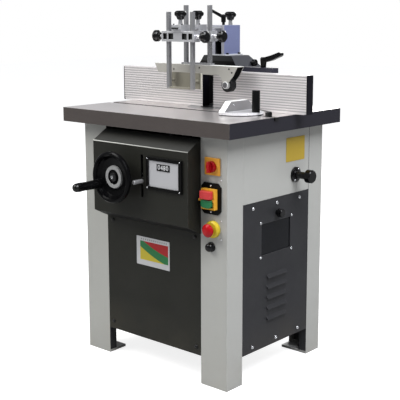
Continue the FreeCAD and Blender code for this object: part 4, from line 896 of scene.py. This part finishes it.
# %% [markdown]
# The hood is held by two studs in its slotted ears. Each has a round washer and a hexagon nut with broken
# edges. The nut and the end of the stud are joined, because they are seen and tightened as one.

# %% Pattern: nut on a washer
washer_h = 0.0022
nut_h = 0.009
nut = rod("nut_pattern", 0.0104, nut_h, 6, washer_h)
round_edges(nut, lambda c, d: c.z > 0.011, 0.0012, 2)
stud = rod("stud", 0.0058, 0.0165, 20, 0.00025)
round_edges(stud, lambda c, d: c.z > 0.016, 0.001, 2)
nut.select_set(True)
bpy.context.view_layer.objects.active = nut
bpy.ops.object.join()
washer = rod("washer", 0.0135, washer_h, 32)
round_edges(washer, lambda c, d: c.z > 0.002, 0.0005, 2)
print("nut:", len(nut.data.polygons), "faces")

# %% [markdown]
# Screws go where the sheet is held: along the covers, at the corners of the pane, on the front panel.
# Their heads sit on the face that carries them. Where a solid ends in that face, it is read from the frame.

# %% Screws of the cabinet
side_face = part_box("right_upper_panel")[1][0]
front_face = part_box("front_panel")[0][1]
leg_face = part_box("leg_front_right")[0][1]
low_row = 0.111
high_row = 0.794
columns = (-0.126, 0, 0.125)


def corners(node_name, first, second, inset):
    """The four corners of a solid in two of its axes, moved in from its edges."""
    low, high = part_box(node_name)
    return [(a, b) for a in (low[first] + inset, high[first] - inset)
            for b in (low[second] + inset, high[second] - inset)]


cover_spots = [(side_face, y, z) for z in (low_row, 0.57) for y in columns]
left_spots = [(-side_face, y, z) for z in (low_row, high_row) for y in columns]
rear_spots = [(x, -front_face, z) for z in (low_row, 0.45, high_row) for x in (-0.19, 0.19)]
pane_spots = [(side_face, y, z) for y, z in corners("belt_window", 1, 2, 0.005)]
front_spots = [(x * side, front_face, z) for x, z in ((0.192, 0.12), (0.187, 0.482)) for side in (-1, 1)]
leg_spots = [(0.296, leg_face, z) for z in (0.676, 0.549, 0.491)]
set_copies(screw, "cover_screw", cover_spots, RIGHT, size=(1.25, 1.2))
set_copies(screw, "left_screw", left_spots, LEFT)
set_copies(screw, "rear_screw", rear_spots, REAR)
set_copies(screw, "pane_screw", pane_spots, RIGHT)
set_copies(screw, "front_screw", front_spots, FRONT, black_oxide, size=(1.3, 1.3))
set_copies(screw, "leg_screw", leg_spots, FRONT, size=(0.55, 0.55))

# %% [markdown]
# The readout and the switch have small screws, the shoe has black rivets, and the plunger's flange is held
# by two screws on a slant. All are the same pattern at another size: a rivet is so flat that its recess
# doesn't show.

# %% Screws of the fittings
readout_spots = [(x, readout_low[1], z) for x, z in corners("readout", 0, 2, 0.0055)]
switch_x = middle_of("switch_plate").x
switch_spots = [(switch_x, leg_face - 0.004, z) for z in (switch_low[2] + 0.008, switch_high[2] - 0.008)]
rivets = ((-0.095, 0.99), (0.022, 0.999), (0.151, 0.999), (0.163, 0.988))
rivet_spots = [(x, shoe_low[1], z) for x, z in rivets]
flange_h = 0.006
plunger_at = middle_of("plunger")
plunger_at.x = side_face
flange_front = plunger_at + Vector((flange_h, 0, 0))
slant = Vector((0, 0.0105, 0.0178))
set_copies(screw, "readout_screw", readout_spots, FRONT, size=(0.48, 0.5))
set_copies(screw, "switch_screw", switch_spots, FRONT, size=(0.7, 0.7))
set_copies(screw, "shoe_rivet", rivet_spots, FRONT, black_oxide, "shoe", (0.6, 0.4))
set_copies(screw, "flange_screw", [flange_front + slant, flange_front - slant], RIGHT, size=(0.7, 0.7))

# %% [markdown]
# The mitre gauge has a screw in its rim and one in its block, and the insert ring lies in the table with
# three sunk screws. The screw in the rim looks outwards, so its direction is worked out from its angle.

# %% Screws of the table and the gauge
rim_angle = radians(-30)
rim_way = Vector((cos(rim_angle), sin(rim_angle), 0))
rim_at = Vector((pivot.x, pivot.y, gauge_base + 0.0052)) + rim_way * 0.077
rim_turn = rim_way.to_track_quat("Z", "Y").to_matrix().to_4x4()
block_at = (pivot.x, pivot.y - 0.03, gauge_base + 0.0307)
ring_r = 0.064
ring_at = middle_of("table_ring")
ring_spots = [(ring_at.x + ring_r * cos(radians(a)), ring_at.y + ring_r * sin(radians(a)), table_top - 0.0004)
              for a in (200, 320, 80)]
set_copies(screw, "rim_screw", [rim_at], rim_turn, body="mitre_head", size=(0.5, 0.6))
set_copies(screw, "block_screw", [block_at], RIGHT, body="mitre_head", size=(0.7, 0.6))
set_copies(screw, "ring_screw", ring_spots, UP, size=(0.8, 0.2))

# %% [markdown]
# Bolts hold the tower on the hood and the handwheel on its shaft, and small set screws grip the bars in their
# clamps. With the nuts on the hood's ears all fasteners are set, and the patterns are thrown away.

# %% Bolts and nuts
flange_top = tower_low[2] + 0.004
tower_rows = (tower_low[1] + 0.016, tower_high[1] - 0.014)
tower_spots = [(x, y, flange_top) for x in (-0.031, 0.031) for y in tower_rows]
set_copies(bolt, "tower_bolt", tower_spots, UP, black_oxide, "hood", (0.95, 1))
for clamp in clamp_steel:
    low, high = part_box(clamp)
    grip_y = (low[1] + high[1]) / 2 - 0.013
    grip_spots = [(x, grip_y, high[2]) for x in (-0.0185, 0.0185)]
    set_copies(bolt, clamp + "_set_screw", grip_spots, UP, black_oxide, clamp, (0.55, 0.6))
ear_inset = 0.02
ear_spots = [(x, 0.15, hood_low[2] + 0.014) for x in (hood_low[0] + ear_inset, hood_high[0] - ear_inset)]
set_copies(washer, "hood_washer", ear_spots, UP, body="hood")
set_copies(nut, "hood_nut", ear_spots, UP, black_oxide, "hood")
set_copies(bolt, "hood_bolt", [(-0.0745, 0.085, 1.002)], LEFT, black_oxide, "hood", (1.3, 1.7))
wheel_bolt_at = (wheel_axis.x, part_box("wheel_shaft")[0][1] + 0.0006, wheel_axis.y)
set_copies(bolt, "wheel_bolt", [wheel_bolt_at], FRONT, body="handwheel", size=(1.15, 0.6))
for pattern in (screw, bolt, nut, washer):
    drop(pattern)

# %% [markdown]
# Flat plates are stuck or screwed on: the speed chart, a bare yellow one on the side, and the fence's black
# end caps. Each is a cube at its size with its corners rounded and its rim broken by a fine bevel.

# %% Plates
def plate(name, low, high, corner, rim):
    size = [b - a for a, b in zip(low, high)]
    thin = size.index(min(size))
    made = begin(name, bpy.ops.mesh.primitive_cube_add, size=1, scale=size,
                 location=[(a + b) / 2 for a, b in zip(low, high)])
    round_edges(made, lambda c, d: abs(d[thin]) > 0.9, corner, 5)
    use(made, "BEVEL", width=rim, segments=2, limit_method="ANGLE", angle_limit=radians(60))
    return made


chart_low = Vector((-0.074, front_face - 0.0012, 0.349))
chart_high = Vector((0.077, front_face, 0.446))
chart_plate = plate("speed_chart_plate", chart_low, chart_high, 0.0015, 0.0002)
notice_low = (side_face, 0.047, 0.697)
notice_high = (side_face + 0.001, 0.151, 0.777)
yellow_plate = plate("side_notice_plate", notice_low, notice_high, 0.002, 0.0002)
printed = dict(grain=600, depth=0.03, radius=0.0004)
notice_yellow = finish("notice_yellow", (172, 146, 50), 0.4, tone=0.03, specular=0.3, **printed)
print("plates:", chart_plate.name, yellow_plate.name)

# %% [markdown]
# The fence plates are closed at both ends by black caps. The outer ones are thick and take the knocks, and
# the inner ones beside the cutter are thin.

# %% Caps of the fence
outer_thick = 0.003
inner_thick = 0.0015
cap_black = finish("cap_black", (12, 11, 18), 0.4, grain=700, depth=0.05, tone=0.08, specular=0.15)
caps = []
for fence, side in (("left_fence", -1), ("right_fence", 1)):
    low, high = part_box(fence)
    outer, inner = (low[0], high[0]) if side < 0 else (high[0], low[0])
    for end, x, thick in (("outer", outer, outer_thick * side), ("inner", inner, -inner_thick * side)):
        cap = plate("%s_%s_cap" % (fence, end), (min(x, x + thick), low[1], low[2]),
                    (max(x, x + thick), high[1], high[2]), 0.004, 0.0005)
        caps.append((cap, fence))
print("caps:", [cap.name for cap, fence in caps])

# %% [markdown]
# The speed chart shows which speeds suit which cutter. The print is plain areas: too slow is yellow, too
# fast is red, and the green band between them is safe. Two bent lines part them, each a slope less a small
# parabola. Grey dashes stand for the scale along its upper edge.

# %% Print of the chart
chart_wide = chart_high.x - chart_low.x
chart_tall = chart_high.z - chart_low.z
dash_step = chart_wide / 16


def chart_area(which):
    def mask(tree):
        at = spot_of(tree)
        u = spread(tree, at["X"], chart_low.x + chart_wide * 0.11, chart_high.x - chart_wide * 0.04)
        v = spread(tree, at["Z"], chart_low.z + chart_tall * 0.19, chart_high.z - chart_tall * 0.15)
        inside = all_of(tree, between(tree, u, 0.001, 0.999), between(tree, v, 0.001, 0.999))
        bend = times(tree, times(tree, u, sums(tree, "SUBTRACT", 1, u)), 0.34)
        upper = sums(tree, "SUBTRACT", sums(tree, "SUBTRACT", 1.12, times(tree, u, 0.72)), bend)
        lower = sums(tree, "SUBTRACT", sums(tree, "SUBTRACT", 0.7, times(tree, u, 0.76)), bend)
        over = sums(tree, "GREATER_THAN", v, upper)
        under = sums(tree, "LESS_THAN", v, lower)
        neither = sums(tree, "SUBTRACT", sums(tree, "SUBTRACT", 1, over), under)
        return all_of(tree, inside, {"fast": over, "slow": under, "safe": neither}[which])
    return mask


def chart_dashes(tree):
    at = spot_of(tree)
    along = sums(tree, "DIVIDE", sums(tree, "SUBTRACT", at["X"], chart_low.x), dash_step)
    row = between(tree, at["Z"], chart_high.z - chart_tall * 0.11, chart_high.z - chart_tall * 0.05)
    return all_of(tree, between(tree, sums(tree, "FRACT", along), 0.25, 0.7), row,
                  between(tree, at["X"], chart_low.x + chart_wide * 0.14, chart_high.x - chart_wide * 0.08))


chart_areas = [(chart_area("fast"), (150, 24, 26), 0.34, 0.0), (chart_area("safe"), (34, 104, 58), 0.34, 0.0),
               (chart_area("slow"), (176, 160, 46), 0.34, 0.0), (chart_dashes, (120, 120, 120), 0.34, 0.0)]
chart_print = finish("speed_chart_print", (178, 178, 180), 0.36, tone=0.02, marks=0.06, specular=0.25,
                     inlays=chart_areas, **printed)
hang(chart_plate, chart_print, "machine")
hang(yellow_plate, notice_yellow, "machine")
for cap, fence in caps:
    hang(cap, cap_black, fence)
print("printed:", chart_print.name, notice_yellow.name)

# %% [markdown]
# The readout has a small counter window with plain figures on dark drums. The window is a plate, and the
# figures are text made into a mesh and laid just in front of it.

# %% Readout counter
glass_y = readout_low[1] + 0.003
readout_mid = middle_of("readout")
counter_mid = Vector((readout_mid.x - 0.0015, glass_y, readout_mid.z + 0.022))
half_wide = 0.028
half_tall = 0.011
counter = plate("readout_counter", (counter_mid.x - half_wide, glass_y - 0.0012, counter_mid.z - half_tall),
                (counter_mid.x + half_wide, glass_y, counter_mid.z + half_tall), 0.0015, 0.0003)
hang(counter, thermoset, "machine")
bpy.ops.object.select_all(action="DESELECT")
bpy.ops.object.text_add()
figures = bpy.context.object
figures.name = "readout_figures"
figures.data.body = "0480"
figures.data.align_x = "CENTER"
figures.data.align_y = "CENTER"
figures.data.size = 0.021
figures.data.space_character = 1.12
figures.data.extrude = 0.0002
bpy.ops.object.convert(target="MESH")
figures = bpy.context.object
figures.data.transform(Matrix.Translation(counter_mid - Vector((0, 0.0014, 0))) @ FRONT)
figure_white = finish("figure_white", (206, 206, 208), 0.45, grain=800, depth=0.03, tone=0.02, radius=0.0002)
hang(figures, figure_white, "machine")
print("counter figures:", len(figures.data.polygons), "faces")

# %% [markdown]
# A domed plug closes a spare hole in the leg. It starts as a thin disc. The middle is drawn out to a stub,
# a wide bevel makes the dome, and a small one softens the collar.

# %% Plug in the leg
plug_r = 0.016
collar_h = 0.004
plug = rod("leg_plug", plug_r, collar_h, 40)
step_out(plug, 1, 0.002, 0.018)
round_edges(plug, lambda c, d: c.z > 0.021, 0.011, 8)
round_edges(plug, lambda c, d: abs(c.z - collar_h) < 0.0002 and c.xy.length > plug_r * 0.95, 0.0015, 3)
plug.data.transform(Matrix.Translation((0.257, leg_face, 0.462)) @ FRONT)
hang(plug, thermoset, "machine")
print("plug:", len(plug.data.polygons), "faces")

# %% [markdown]
# The spring plunger runs in a flange: a disc with a raised neck and a bore. The bore is cut last, so that
# it goes through the disc and the neck in one.

# %% Flange of the plunger
flange = rod("plunger_flange", 0.026, flange_h, 40)
step_out(flange, 1, 0.0096, 0.004)
round_edges(flange, lambda c, d: c.z > 0.0055 and c.xy.length > 0.014, 0.001, 3)
carve(flange, rod("bore", 0.0136, 0.04, 40, -0.02))
flange.data.transform(Matrix.Translation(plunger_at) @ RIGHT)
hang(flange, thermoset, "machine")
print("flange:", len(flange.data.polygons), "faces")

# %% [markdown]
# The hood has a knurled knob for its fine adjustment. Every second face of the rod's side is set back, which
# makes the knurl. The lower end is drawn out to the stem that goes into the casting.

# %% Adjusting knob
knurl_sides = 32
knurl_angle = radians(360 / knurl_sides)
knob_h = 0.014


def is_groove(centre, normal):
    return abs(normal.z) < 0.1 and round(normal.xy.angle_signed(Vector((1, 0))) / knurl_angle) % 2 == 0


grip = rod("hood_adjust_knob", 0.008, knob_h, knurl_sides)
pick(grip, "FACE", is_groove)
bpy.ops.mesh.inset(thickness=0.0002, depth=-0.0007, use_individual=True)
leave(grip)
step_out(grip, -1, 0.0042, 0.012)
round_edges(grip, lambda c, d: c.z > knob_h - 0.0002, 0.0012, 3)
grip.data.transform(Matrix.Translation((0.0925, 0.155, 1.01)) @ RIGHT)
hang(grip, thermoset, "hood")
print("adjusting knob:", len(grip.data.polygons), "faces")

# %% [markdown]
# The mitre gauge is read at a pointer on its bar: a block screwed to the bar and a tongue that reaches over
# the rim of the disc. The tongue is a plate whose far end is drawn in and lifted, so that it points at the
# marks.

# %% Pointer
bar_top = table_top - 0.0003
block_h = 0.0145
block = plate("pointer_block", (0.331, -0.0843, bar_top), (0.346, -0.0657, bar_top + block_h), 0.002, 0.0005)
hang(block, thermoset, "mitre_bar")
tongue_h = 0.0014
tongue = begin("pointer_tongue", bpy.ops.mesh.primitive_cube_add, size=1, scale=(0.042, 0.015, tongue_h),
               location=(0.324, -0.075, bar_top + block_h + tongue_h / 2))
pick(tongue, "FACE", lambda c, n: n.x < -0.9)
bpy.ops.transform.resize(value=(1, 0.25, 1))
bpy.ops.transform.translate(value=(0, 0, 0.005))
use(tongue, "BEVEL", width=0.0004, segments=2)
hang(tongue, thermoset, "mitre_bar")
print("pointer:", block.name, tongue.name)

# %% [markdown]
# The switch has two small latch tabs beside its buttons, which hold its cover. They are made as the plates
# are.

# %% Latch tabs
tab_face = switch_low[1]
tab_low = 0.6085
tab_high = 0.6165
for name, low_x, high_x in (("left_latch_tab", 0.2235, 0.233), ("right_latch_tab", 0.2795, 0.2845)):
    tab = plate(name, (low_x, tab_face - 0.004, tab_low), (high_x, tab_face, tab_high), 0.0012, 0.0004)
    hang(tab, isolator_yellow, "machine")
    print("latch tab:", tab.name)
